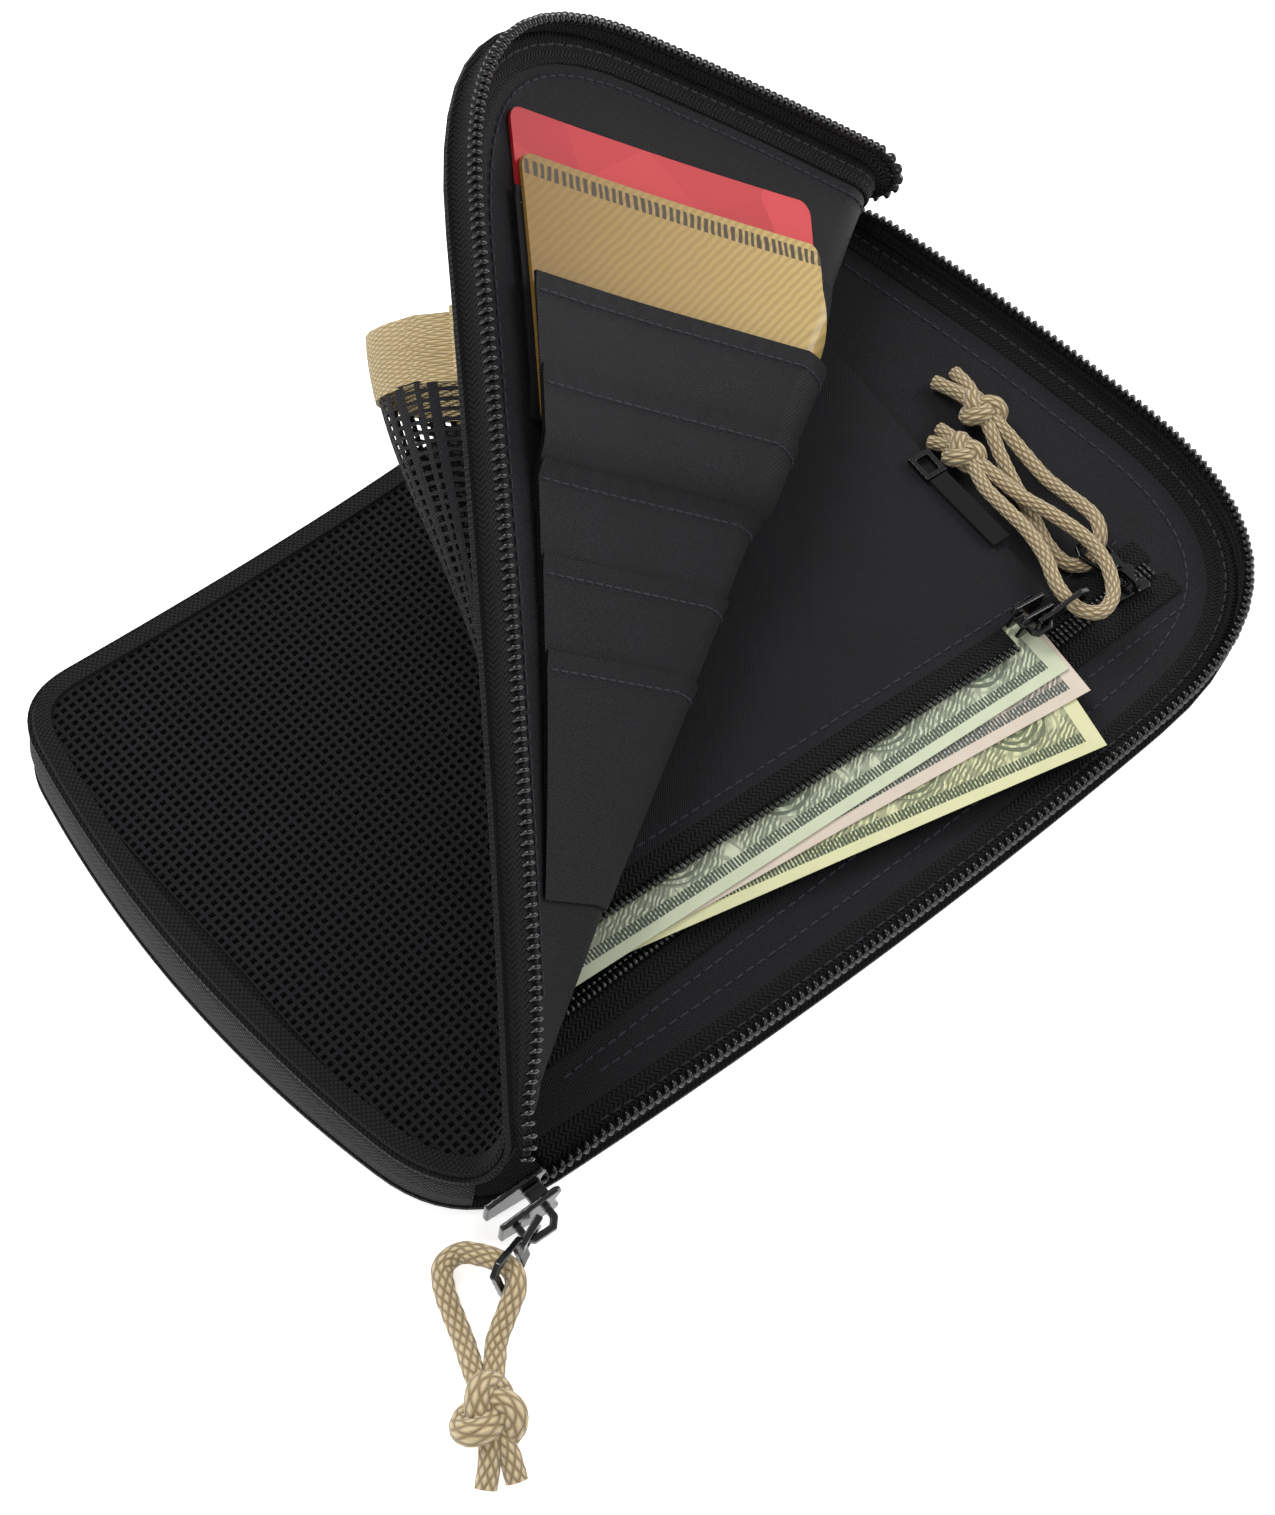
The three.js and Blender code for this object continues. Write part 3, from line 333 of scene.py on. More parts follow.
# ---- Mesh building --------------------------------------------------------------------------
def to_object(name, vertices, faces, material, uvs=None, smooth_shading=True):
    mesh = bpy.data.meshes.new(name)
    mesh.from_pydata((np.asarray(vertices) - ORIGIN) * MM, [], faces)
    mesh.materials.append(material)
    if uvs is not None:
        layer = mesh.uv_layers.new(name="UVMap")
        index = np.empty(len(mesh.loops), dtype=np.int32)
        mesh.loops.foreach_get("vertex_index", index)
        layer.data.foreach_set("uv", np.asarray(uvs, dtype=np.float32)[index].ravel())
    if smooth_shading:
        mesh.polygons.foreach_set("use_smooth", np.ones(len(mesh.polygons), dtype=bool))
    mesh.update()
    mesh.set_sharp_from_angle(angle=math.radians(48))
    piece = bpy.data.objects.new(name, mesh)
    bpy.context.scene.collection.objects.link(piece)
    return piece


def cut_plan(polygon, rolled, step):
    """Cuts a plan polygon into small cells, in line with the roll or with the plan's own axes."""
    plan = bmesh.new()
    plan.faces.new([plan.verts.new((x, y, 0)) for x, y in polygon])
    span = np.asarray(polygon)
    if rolled:
        sets = [(ROLL_DIR, 0, np.arange(-40, 320, step * 1.3)),
                (ROLL_SIDE, -ROLL_SETBACK, np.unique(np.concatenate([
                    np.arange(-160, 0, step), np.arange(0, 17, 0.9), np.arange(17, 160, step)])))]
    else:
        sets = [(np.array([1, 0]), 0, np.arange(-20, 240, step)),
                (np.array([0, 1]), 0, np.arange(-30, 170, step))]
    for normal, shift, levels in sets:
        reach = span @ normal
        for level in levels + shift:
            if reach.min() < level < reach.max():
                bmesh.ops.bisect_plane(plan, geom=plan.verts[:] + plan.edges[:] + plan.faces[:], dist=1e-4,
                                       plane_co=(*(normal * level), 0), plane_no=(*normal, 0))
    bmesh.ops.remove_doubles(plan, verts=plan.verts[:], dist=0.01)
    bmesh.ops.triangulate(plan, faces=[f for f in plan.faces if len(f.verts) > 4])
    plan.verts.index_update()
    points = np.array([v.co[:2] for v in plan.verts])
    faces = []
    for f in plan.faces:
        ids = [v.index for v in f.verts]
        x, y = points[ids, 0], points[ids, 1]
        area = np.sum(x * np.roll(y, -1) - np.roll(x, -1) * y)
        faces.append(ids if area > 0 else ids[::-1])
    plan.free()
    return points, faces


def sheet(name, polygon, place, low, high, material, step=3.0, rolled=None):
    """Cloth of some thickness over a plan polygon. low and high are levels, or functions of x, y."""
    rolled = place is on_front if rolled is None else rolled
    points, faces = cut_plan(polygon, rolled, step)
    x, y = points[:, 0], points[:, 1]
    level = [value(x, y) if callable(value) else value + 0 * x for value in (low, high)]
    first, second = (place(x, y, value) for value in level)
    n = len(points)
    edges = {}
    for f in faces:
        for a, b in zip(f, f[1:] + f[:1]):
            edges[(a, b)] = True
    rim = [(a, b) for a, b in edges if (b, a) not in edges]
    flip = place in (on_front, on_mesh)
    upper = [[i + n for i in f] for f in faces]
    lower = [f[::-1] for f in faces]
    walls = [[a, b, b + n, a + n] for a, b in rim]
    quads = upper + lower + walls
    if flip:
        quads = [f[::-1] for f in quads]
    return to_object(name, np.vstack([first, second]), quads, material, np.vstack([points, points]))


def frames_along(path):
    """Tangents and a steady pair of normals along a path."""
    path = np.asarray(path, float)
    tangent = np.gradient(path, axis=0)
    tangent /= np.linalg.norm(tangent, axis=1, keepdims=True)
    normal = np.cross(tangent[0], [0.3, 0.2, 1.0])
    normals = []
    for t in tangent:
        normal = normal - t * normal.dot(t)
        normal /= np.linalg.norm(normal)
        normals.append(normal)
    normals = np.array(normals)
    return path, tangent, normals, np.cross(tangent, normals)


def catmull(points, spacing):
    """Resamples a smooth curve through points at even spacing."""
    p = np.asarray(points, float)
    p = np.vstack([2 * p[0] - p[1], p, 2 * p[-1] - p[-2]])
    fine = []
    for a, b, c, d in zip(p, p[1:], p[2:], p[3:]):
        for t in np.linspace(0, 1, 24, endpoint=False):
            fine.append(0.5 * (2 * b + (c - a) * t + (2 * a - 5 * b + 4 * c - d) * t ** 2
                               + (3 * b - a - 3 * c + d) * t ** 3))
    fine.append(p[-2])
    fine = np.array(fine)
    run = np.concatenate([[0], np.cumsum(np.linalg.norm(np.diff(fine, axis=0), axis=1))])
    at = np.linspace(0, run[-1], max(2, int(round(run[-1] / spacing)) + 1))
    return np.stack([np.interp(at, run, fine[:, k]) for k in range(3)], 1)


def tube(name, path, radius, material, sides=20, relief=None, round_ends=True):
    """A round bar along a path; radius may vary, relief adds to it by turn and length."""
    path, _, across, up = frames_along(path)
    run = np.concatenate([[0], np.cumsum(np.linalg.norm(np.diff(path, axis=0), axis=1))])
    size = np.broadcast_to(np.asarray(radius, float), (len(path),)).copy()
    if round_ends:
        for k, share in enumerate((0.05, 0.6, 0.85)):
            size[k] *= share
            size[-1 - k] *= share
    turns = np.arange(sides + 1) / sides
    angle = 2 * np.pi * turns
    grow = relief(turns[None, :], run[:, None]) if relief else 0
    r = size[:, None] + grow * (size[:, None] > 0.5 * np.max(size))
    rings = (path[:, None] + r[..., None] * (np.cos(angle)[None, :, None] * across[:, None]
                                            + np.sin(angle)[None, :, None] * up[:, None]))
    uv = np.stack(np.broadcast_arrays(turns[None, :], run[:, None]), -1).reshape(-1, 2)
    w = sides + 1
    faces = [[i * w + j, i * w + j + 1, (i + 1) * w + j + 1, (i + 1) * w + j]
             for i in range(len(path) - 1) for j in range(sides)]
    faces += [list(range(sides - 1, -1, -1)), [(len(path) - 1) * w + j for j in range(sides)]]
    return to_object(name, rings.reshape(-1, 3), faces, material, uv)


def many(name, unit_vertices, unit_faces, places, material):
    """One mesh made of copies of a small shape; places are 4 by 4 matrices in millimetres."""
    unit = np.c_[unit_vertices, np.ones(len(unit_vertices))]
    vertices = np.vstack([(unit @ m.T)[:, :3] for m in places])
    n = len(unit_vertices)
    faces = [[i + k * n for i in f] for k in range(len(places)) for f in unit_faces]
    uvs = np.tile(np.asarray(unit_vertices)[:, :2], (len(places), 1))
    return to_object(name, vertices, faces, material, uvs)


def capsule(length, radius, sides=8, bow=0.0, flat=1.0):
    """A small rod along x with round ends, bowed up in z."""
    xs = np.array([-1, -0.94, -0.72, -0.3, 0.3, 0.72, 0.94, 1]) * length / 2
    rs = np.array([0.15, 0.55, 0.92, 1, 1, 0.92, 0.55, 0.15]) * radius
    ring = np.arange(sides) * 2 * np.pi / sides
    v = np.array([[x, r * math.cos(a), flat * r * math.sin(a) + bow * (1 - (2 * x / length) ** 2)]
                  for x, r in zip(xs, rs) for a in ring])
    f = [[i * sides + j, i * sides + (j + 1) % sides, (i + 1) * sides + (j + 1) % sides, (i + 1) * sides + j]
         for i in range(len(xs) - 1) for j in range(sides)]
    f += [list(range(sides))[::-1], [(len(xs) - 1) * sides + j for j in range(sides)]]
    return v, f


def basis(origin, x, z):
    x = x / np.linalg.norm(x)
    y = np.cross(z, x)
    y /= np.linalg.norm(y)
    m = np.eye(4)
    m[:3, 0], m[:3, 1], m[:3, 2], m[:3, 3] = x, y, np.cross(x, y), origin
    return m


def stitches(name, path, normal_at, pitch=2.7, length=2.1, radius=0.24):
    """A row of sewn stitches along a path of surface points; normal_at gives outward directions."""
    path = np.asarray(path, float)
    run = np.concatenate([[0], np.cumsum(np.linalg.norm(np.diff(path, axis=0), axis=1))])
    at = np.arange(pitch / 2, run[-1], pitch)
    centre = np.stack([np.interp(at, run, path[:, k]) for k in range(3)], 1)
    before = np.stack([np.interp(at - 0.5, run, path[:, k]) for k in range(3)], 1)
    after = np.stack([np.interp(at + 0.5, run, path[:, k]) for k in range(3)], 1)
    normals = normal_at(centre) if callable(normal_at) else np.broadcast_to(normal_at, centre.shape)
    places = [basis(c, b - a, n) for c, a, b, n in zip(centre, before, after, normals)]
    v, f = capsule(length, radius, 6, bow=0.08)
    return many(name, v, f, places, thread)


def surface_normals(place, xy, level, deeper):
    xy = np.asarray(xy, float)
    step = 0.4
    p = place(xy[:, 0], xy[:, 1], level + 0 * xy[:, 0])
    q = place(xy[:, 0], xy[:, 1], level + deeper * step + 0 * xy[:, 0])
    n = q - p
    return n / np.linalg.norm(n, axis=1, keepdims=True)


def sewn(name, place, xy, level, deeper, **look):
    """Stitches along a plan path on a placed sheet; deeper is +1 or -1, the way out of the cloth."""
    xy = np.asarray(xy, float)
    run = np.concatenate([[0], np.cumsum(np.linalg.norm(np.diff(xy, axis=0), axis=1))])
    at = np.linspace(0, run[-1], max(2, int(run[-1] / 0.7)))
    fine = np.stack([np.interp(at, run, xy[:, k]) for k in (0, 1)], 1)
    values = level(fine[:, 0], fine[:, 1]) if callable(level) else level
    path = place(fine[:, 0], fine[:, 1], values + 0 * fine[:, 0])
    normals = surface_normals(place, fine, values, deeper)

    def nearest(points):
        return normals[[int(np.argmin(np.sum((path - c) ** 2, 1))) for c in points]]
    return stitches(name, path, nearest, **look)


BODY = "wallet_body"


def thicken(piece, thick, offset=0.0):
    solidify = piece.modifiers.new("thickness", "SOLIDIFY")
    solidify.thickness = thick * MM
    solidify.offset = offset
    return piece


def body_piece(piece, *nodes, body=BODY):
    if nodes:
        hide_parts(*nodes)
    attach(piece, body)
    return piece


# ---- Cords and knots ------------------------------------------------------------------------
def weave_relief(pitch, around, depth):
    def relief(turns, run):
        a = np.mod(turns * around + run / pitch, 1)
        b = np.mod(turns * around - run / pitch, 1)
        return depth * (np.sin(np.pi * a) * np.sin(np.pi * b) - 0.5)
    return relief


MAIN_ROUTE = [
    (-20.2, -20.8, 4.4), (-17.6, -18.4, 4.8), (-13.0, -16.0, 6.8), (-9.8, -14.2, 8.2), (-8.2, -11.6, 8.1),
    (-8.4, -8.6, 7.2), (-9.8, -4.8, 5.2), (-11.8, -1.8, 3.2), (-15.4, -1.6, 2.3), (-18.0, -5.0, 2.2),
    (-19.8, -9.4, 2.2), (-21.6, -14.2, 2.6), (-23.6, -18.4, 3.6)]
POUCH_ROUTE = [
    (181.4, 56.2, 6.4), (179.4, 51.5, 7.2), (178.0, 45.0, 8.8), (176.8, 38.0, 10.0), (174.4, 31.0, 11.0),
    (171.4, 25.6, 11.5), (170.2, 21.6, 11.5), (170.4, 17.4, 11.4), (173.2, 14.4, 11.2), (178.0, 15.2, 10.6),
    (182.2, 19.2, 10.0), (184.8, 24.4, 9.6), (185.4, 30.4, 9.4), (184.6, 38.0, 8.8), (183.4, 46.0, 7.8),
    (183.6, 55.6, 6.6)]
INSET_ROUTE = [
    (191.4, 61.0, 6.0), (189.6, 56.4, 4.8), (187.2, 49.6, 3.8), (184.0, 41.0, 3.8), (181.6, 34.4, 3.7),
    (181.4, 29.2, 3.7), (184.2, 26.4, 3.9), (186.7, 26.6, 6.1), (188.8, 27.8, 8.4), (190.8, 31.0, 9.0),
    (191.8, 35.4, 8.0), (192.8, 41.0, 5.6), (193.4, 47.0, 4.2), (194.0, 54.0, 4.8), (194.2, 60.6, 6.0)]


def knot(name, at, size, turned, tails, thick, floor):
    """An overhand knot: three lobes wound about the cord's line, and two tails."""
    t = np.linspace(0, 2 * np.pi, 160)
    k = 1.12 * thick / 2
    lobes = np.stack([
        (np.sin(t) + 2 * np.sin(2 * t)) / 3,
        (np.cos(t) - 2 * np.cos(2 * t)) / 3,
        -np.sin(3 * t) * 0.62], 1)
    c, s = math.cos(turned), math.sin(turned)
    path = np.stack([lobes[:, 0] * size[0] * c - lobes[:, 1] * size[1] * s,
                     lobes[:, 0] * size[0] * s + lobes[:, 1] * size[1] * c, lobes[:, 2] * size[2]], 1) + at
    path[:, 2] = np.maximum(path[:, 2], floor + k)
    pieces = [tube(f"{name}_body", path, k * 1.1, cord_braid, CORD_SIDES,
                   weave_relief(BRAID_PITCH, BRAID_STRANDS, 0.12), False)]
    for i, end in enumerate(tails):
        start = np.array([at[0] + (end[0] - at[0]) * 0.2, at[1] + (end[1] - at[1]) * 0.2, max(at[2], end[2])])
        mid = (start + np.array(end)) / 2 + np.array([0.3, -0.3, 0.3])
        line = catmull([start, mid, end], 0.4)
        pieces.append(tube(f"{name}_tail_{i}", line, thick / 2, cord_braid, CORD_SIDES,
                           weave_relief(BRAID_PITCH, BRAID_STRANDS, 0.1), False))
    bpy.ops.object.select_all(action="DESELECT")
    for piece in pieces:
        piece.select_set(True)
    bpy.context.view_layer.objects.active = pieces[0]
    bpy.ops.object.join()
    pieces[0].name = name
    return pieces[0]


def add_cord(name, route, thick, body, knot_at, size, turned, tails, floor):
    heart = np.array(knot_at)
    ends = [tuple(np.array(route[i]) * 0.35 + heart * 0.65) for i in (0, -1)]
    path = catmull([ends[0], *route, ends[1]], 0.35)
    piece = tube(f"{name}_cord_braid", path, thick / 2, cord_braid, CORD_SIDES,
                 weave_relief(BRAID_PITCH, BRAID_STRANDS, 0.12), False)
    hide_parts(f"{name}_cord")
    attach(piece, body)
    tied = knot(f"{name}_knot_tied", np.array(knot_at), size, turned, tails, thick, floor)
    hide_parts(f"{name}_knot")
    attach(tied, body)


add_cord("main", MAIN_ROUTE, 4, "main_pull_body", (-27.6, -27.6, 5.7), (5.4, 4.6, 3.0), math.radians(20),
         [(-36.0, -36.5, 2.4), (-31.0, -39.0, 2.4)], 0.1)
add_cord("pouch", POUCH_ROUTE, 3, "pouch_pull_body", (182.9, 61.2, 6.2), (3.0, 3.2, 2.0), 0.3,
         [(180.6, 68.6, 4.0), (184.8, 69.6, 4.0)], 1.9)
add_cord("inset", INSET_ROUTE, 3, "inset_pull_body", (194.0, 66.6, 6.2), (2.9, 3.8, 2.0), 0.6,
         [(192.8, 79.0, 4.0), (198.0, 78.0, 4.0)], 1.9)

# ---- Panels ---------------------------------------------------------------------------------
LINING_AT = SHELL + CLEAR
LINING_END = LINING_AT + LINING


def undulate(x, y, size=0.25):
    return size * (np.sin(x / 13 + 1.3 * np.sin(y / 17)) * np.sin(y / 11 + 0.7) + 0.5 * np.sin((x + y) / 7.3))


body_piece(sheet("back_shell_cloth", OUTLINE, on_back, 0.0, SHELL, shell_cloth, 6), "back_shell")
lining_loop = inset_loop(OUTLINE, 2.0)
body_piece(sheet("back_lining_cloth", lining_loop, on_back,
                 lambda x, y: LINING_AT - 0.1 + 0 * x, lambda x, y: LINING_END + 0.3 + 0.45 * undulate(x, y),
                 lining_cloth, 2.5), "back_lining")
body_piece(sheet("front_shell_cloth", OUTLINE, on_front, 0.0, SHELL, shell_cloth, 2.5), "front_shell")
body_piece(sheet("front_lining_cloth", lining_loop, on_front, LINING_AT - 0.1,
                 lambda x, y: LINING_END + 0.35 * undulate(x, y), lining_cloth, 2.5), "front_lining")

# Side wall along the closed edges
corner_c = EDGE_AT[int(np.argmin(np.linalg.norm(OUTLINE - np.array([209, 141]), axis=1)))]
wall = np.linspace(corner_c + 9, EDGE_TOTAL - 9.5 - 6.5 - 1.2, 240)
rows = []
bulge = np.array([0, 0.35, 0.65, 0.35, 0])
for k, share in enumerate(np.linspace(0, 1, 5)):
    outer, _ = edge_at(wall, 0.8 - bulge[k])
    low = on_back(outer[:, 0], outer[:, 1], SHELL * 0.4)
    top = on_front(outer[:, 0], outer[:, 1], SHELL * 0.6 + 0 * outer[:, 0])
    rows.append(low + (top - low) * share)
rows = np.array(rows)
w = rows.shape[1]
wall_faces = [[i * w + j, i * w + j + 1, (i + 1) * w + j + 1, (i + 1) * w + j]
              for i in range(4) for j in range(w - 1)]
wall_uv = np.stack([np.tile(wall, 5), np.repeat(np.linspace(0, 12, 5), w)], 1)
gusset = to_object("side_gusset_cloth", rows.reshape(-1, 3), wall_faces, shell_cloth, wall_uv)
body_piece(thicken(gusset, 0.8), "side_gusset")


# ---- Main zip -------------------------------------------------------------------------------
ZIP_FROM = -3.5
ZIP_TO = corner_c - 9
PITCH = 1.8


def tape_reach(along):
    fade = smooth(np.minimum(ZIP_TO - along, along - ZIP_FROM) / 18)
    return 1.4 + (4.6 - 1.4) * fade


def zip_row(side, place, foot):
    along = np.arange(ZIP_FROM - 4, ZIP_TO, 1.5)
    reach = tape_reach(along) + 0.35
    grid = []
    for share in np.linspace(0, 1, 5):
        p, _ = edge_at(along, 1.1 + 0.25 * math.sin(share * math.pi))
        grid.append(place(p[:, 0], p[:, 1], foot - 0.2 + share * (reach + 0.2)))
    grid = np.array(grid)
    width = grid.shape[1]
    inner, _ = edge_at(along, 1.7)
    inner_grid = np.array([place(inner[:, 0], inner[:, 1], foot - 0.2 + share * (reach + 0.2))
                           for share in np.linspace(1, 0, 5)])
    full = np.vstack([grid, inner_grid])
    faces = [[i * width + j, i * width + j + 1, (i + 1) * width + j + 1, (i + 1) * width + j]
             for i in range(len(full) - 1) for j in range(width - 1)]
    uv = np.stack([np.tile(along, len(full)), np.repeat(np.arange(len(full)) * 1.1, width)], 1)
    tape = to_object(f"zip_tape_{side}_knit", full.reshape(-1, 3), faces, tape_knit, uv)
    body_piece(tape, f"zip_tape_{side}")
    # Seam allowance of the tape on the lining, sewn down
    band_at = np.arange(ZIP_FROM + 2, ZIP_TO, 1.5)
    edges = []
    for inset, lift in ((1.7, 0.5), (3.0, 0.75), (5.5, 0.8), (7.6, 0.7), (8.0, 0.35)):
        p, _ = edge_at(band_at, inset)
        edges.append(place(p[:, 0], p[:, 1], LINING_END + lift + 0 * band_at))
    band = np.array(edges)
    width = band.shape[1]
    faces = [[i * width + j, i * width + j + 1, (i + 1) * width + j + 1, (i + 1) * width + j]
             for i in range(len(band) - 1) for j in range(width - 1)]
    uv = np.stack([np.tile(band_at, len(band)), np.repeat([0, 1.3, 3.8, 5.9, 6.3], width)], 1)
    body_piece(thicken(to_object(f"zip_band_{side}", band.reshape(-1, 3), faces, tape_knit, uv), 0.25))
    # Coil: a row of loops, with the cord they are sewn round
    at = np.arange(ZIP_FROM - 5, ZIP_TO, PITCH)
    p, _ = edge_at(at, 1.1)
    reach = tape_reach(at)
    centre = place(p[:, 0], p[:, 1], foot + reach + 0.45 + 1.05)
    deeper = place(p[:, 0], p[:, 1], foot + reach + 2.5)
    out_p, _ = edge_at(at, 0.1)
    outward = place(out_p[:, 0], out_p[:, 1], foot + reach + 1.5) - centre
    ahead_p, _ = edge_at(at + 0.8, 1.1)
    forward = place(ahead_p[:, 0], ahead_p[:, 1], foot + tape_reach(at + 0.8) + 1.5) - centre
    rise = deeper - centre
    places = []
    for c, o, f, r in zip(centre, outward, forward, rise):
        r = r / np.linalg.norm(r)
        f = f / np.linalg.norm(f)
        places.append(basis(c, 0.93 * r + 0.36 * f, o / np.linalg.norm(o)))
    v, f = capsule(2.7, 0.56, 8, bow=0.35, flat=1.9)
    body_piece(many(f"zip_coil_{side}_loops", v, f, places, coil_gloss), f"zip_coil_{side}")
    core = np.arange(ZIP_FROM - 5, ZIP_TO, 1.2)
    p, _ = edge_at(core, 1.1)
    line = place(p[:, 0], p[:, 1], foot + tape_reach(core) + 1.1)
    body_piece(tube(f"zip_core_{side}", line, 0.75, tape_knit, 8, round_ends=False))


zip_row("back", on_back, LINING_AT)
zip_row("front", on_front, LINING_AT)

# ---- Mesh pocket and its binding --------------------------------------------------------------
MOUTH = 156
BIND = 13


def clip_x(polygon, limit, keep_below):
    out = []
    for p, q in zip(polygon, np.roll(polygon, -1, 0)):
        inside = (p[0] <= limit) == keep_below
        if inside:
            out.append(p)
        if inside != ((q[0] <= limit) == keep_below):
            t = (limit - p[0]) / (q[0] - p[0])
            out.append(p + (q - p) * t)
    return np.array(out)


mesh_loop = inset_loop(OUTLINE, 1.2)
ROW, RUNG, YARN = 1.9, 1.7, 0.36


def inside(loop, x, y):
    hit = np.zeros(np.shape(x), dtype=bool)
    for (ax, ay), (bx, by) in zip(loop, np.roll(loop, -1, 0)):
        if ay != by:
            hit ^= ((ay > y) != (by > y)) & (x < (bx - ax) * (y - ay) / (by - ay) + ax)
    return hit


def ladder_mesh(name, loop, x_end):
    """A knitted mesh: a grid with a hole in each cell, solid in thickness."""
    xs = np.arange(x_end, -12, -ROW)[::-1]
    ys = np.arange(-10, 144, RUNG)
    gx, gy = np.meshgrid(xs, ys, indexing="ij")
    within = inside(loop, gx, gy)
    cells = within[:-1, :-1] & within[1:, :-1] & within[:-1, 1:] & within[1:, 1:]
    columns = len(ys)
    plan = [np.stack([gx.ravel(), gy.ravel()], 1)]
    start = gx.size
    faces = []
    for k, (i, j) in enumerate(np.argwhere(cells)):
        x0, x1, y0, y1 = xs[i] + YARN, xs[i + 1] - YARN, ys[j] + YARN, ys[j + 1] - YARN
        plan.append([(x0, y0), (x1, y0), (x1, y1), (x0, y1)])
        c = [i * columns + j, (i + 1) * columns + j, (i + 1) * columns + j + 1, i * columns + j + 1]
        h = [start + 4 * k + n for n in range(4)]
        faces += [[c[n], c[(n + 1) % 4], h[(n + 1) % 4], h[n]] for n in range(4)]
    plan = np.vstack(plan)
    used = np.unique([i for f in faces for i in f])
    renumber = np.full(len(plan), -1)
    renumber[used] = np.arange(len(used))
    plan = plan[used]
    faces = renumber[np.array(faces)]
    x, y = plan[:, 0], plan[:, 1]
    count = len(plan)
    pull = mesh_pull(x, y)
    points = np.vstack([on_mesh(x, y, pull), on_mesh(x, y, pull + 0.4)])
    edges = {(int(a), int(b)) for f in faces for a, b in zip(f, np.roll(f, -1))}
    rim = [(a, b) for a, b in edges if (b, a) not in edges]
    quads = [list(map(int, f[::-1] + count)) for f in faces] + [list(map(int, f)) for f in faces]
    quads += [[b, a, a + count, b + count] for a, b in sorted(rim)]
    return to_object(name, points, quads, mesh_yarn, np.vstack([plan, plan]))


pocket = body_piece(ladder_mesh("mesh_pocket_knit", mesh_loop, MOUTH - BIND + 0.5), "mesh_pocket")
strip = clip_x(clip_x(mesh_loop, MOUTH, True), MOUTH - BIND, False)
binding = sheet("mesh_binding_webbing", strip, on_mesh, lambda x, y: mesh_pull(x, y) - 1.0,
                lambda x, y: mesh_pull(x, y) + 0.8, webbing, 2, rolled=True)
body_piece(binding, "mesh_binding")
hem_at = np.arange(corner_c + 48, EDGE_TOTAL + 142, 2.0)
hem_rows = []
for inset, lift in ((0.9, 0.6), (1.2, -0.3), (4.4, -0.6), (4.8, 0.3), (1.4, 0.7)):
    p, _ = edge_at(hem_at, inset)
    hem_rows.append(on_mesh(p[:, 0], p[:, 1], mesh_pull(p[:, 0], p[:, 1]) + lift))
hem_rows = np.array(hem_rows)
width = hem_rows.shape[1]
hem_faces = [[i * width + j, ((i + 1) % 5) * width + j, ((i + 1) % 5) * width + j + 1, i * width + j + 1]
             for i in range(5) for j in range(width - 1)]
hem_faces += [[i * width for i in range(5)], [i * width + width - 1 for i in range(4, -1, -1)]]
hem_uv = np.stack([np.tile(hem_at, 5), np.repeat([0, 1, 4, 5, 8], width)], 1)
hem = body_piece(to_object("mesh_pocket_hem", hem_rows.reshape(-1, 3), hem_faces, shell_cloth, hem_uv))

# ---- Card slots -------------------------------------------------------------------------------
POCKET_AT = LINING_END + CLEAR
LAYER = 0.6
CARD_ROOM = 1.06
SLOT_NEAR, SLOT_FAR = 6, 97
CARD_HIGH, CARD_CORNER, CARD_THICK = 53.98, 3.2, 0.76
GOLD_TOP, RED_TOP = 189, 199
GOLD_BOTTOM, RED_BOTTOM = GOLD_TOP - CARD_HIGH, RED_TOP - CARD_HIGH


def card_ramp(x, bottom, rise):
    return rise * smooth((x - bottom + 10) / 9)


def box(x0, x1, y0, y1, step=3.0):
    def line(a, b):
        n = max(1, int(np.linalg.norm(np.subtract(b, a)) / step))
        return [np.array(a) + (np.array(b) - np.array(a)) * i / n for i in range(n)]
    corners = [(x0, y0), (x1, y0), (x1, y1), (x0, y1)]
    return np.array([p for a, b in zip(corners, corners[1:] + corners[:1]) for p in line(a, b)])


def slot_level(k):
    foot = 182 - 17.7 * k - 45

    def level(x, y):
        if k == 0:
            return POCKET_AT + card_ramp(x, RED_BOTTOM, CARD_ROOM)
        return POCKET_AT + card_ramp(x, GOLD_BOTTOM, 2 * CARD_ROOM + LAYER) + LAYER * (x - foot) / 17.7
    return level


for k in range(6):
    mouth = 182 - 17.7 * k
    level = slot_level(k)

    def upper(x, y, level=level, mouth=mouth):
        lip = 0.35 * smooth((x - mouth + 1.6) / 1.2)
        lip = lip + 0.12 * np.sin(y / 9 + k) * smooth((x - mouth + 20) / 20)
        return level(x, y) + 0.3 + lip
    panel = sheet(f"slot_panel_{k + 1}_cloth", box(mouth - 45, mouth, SLOT_NEAR, SLOT_FAR), on_front,
                  level, upper, panel_cloth, 2.5)
    body_piece(panel, f"slot_panel_{k + 1}")
    line = [(mouth - 3.4, y) for y in np.arange(SLOT_NEAR + 0.6, SLOT_FAR - 0.5, 2)]
    body_piece(sewn(f"slot_stitches_{k + 1}", on_front, line, lambda x, y, u=upper: u(x, y) + 0.05, 1))


def card_outline(top):
    points = []
    low_x, high_x = top - CARD_HIGH + CARD_CORNER, top - CARD_CORNER
    for cx, cy, start in ((low_x, 10.8, 180), (high_x, 10.8, 270), (high_x, 90, 0), (low_x, 90, 90)):
        for j in range(7):
            a = math.radians(start + 15 * j)
            points.append((cx + CARD_CORNER * math.cos(a), cy + CARD_CORNER * math.sin(a)))
    return np.array(points)


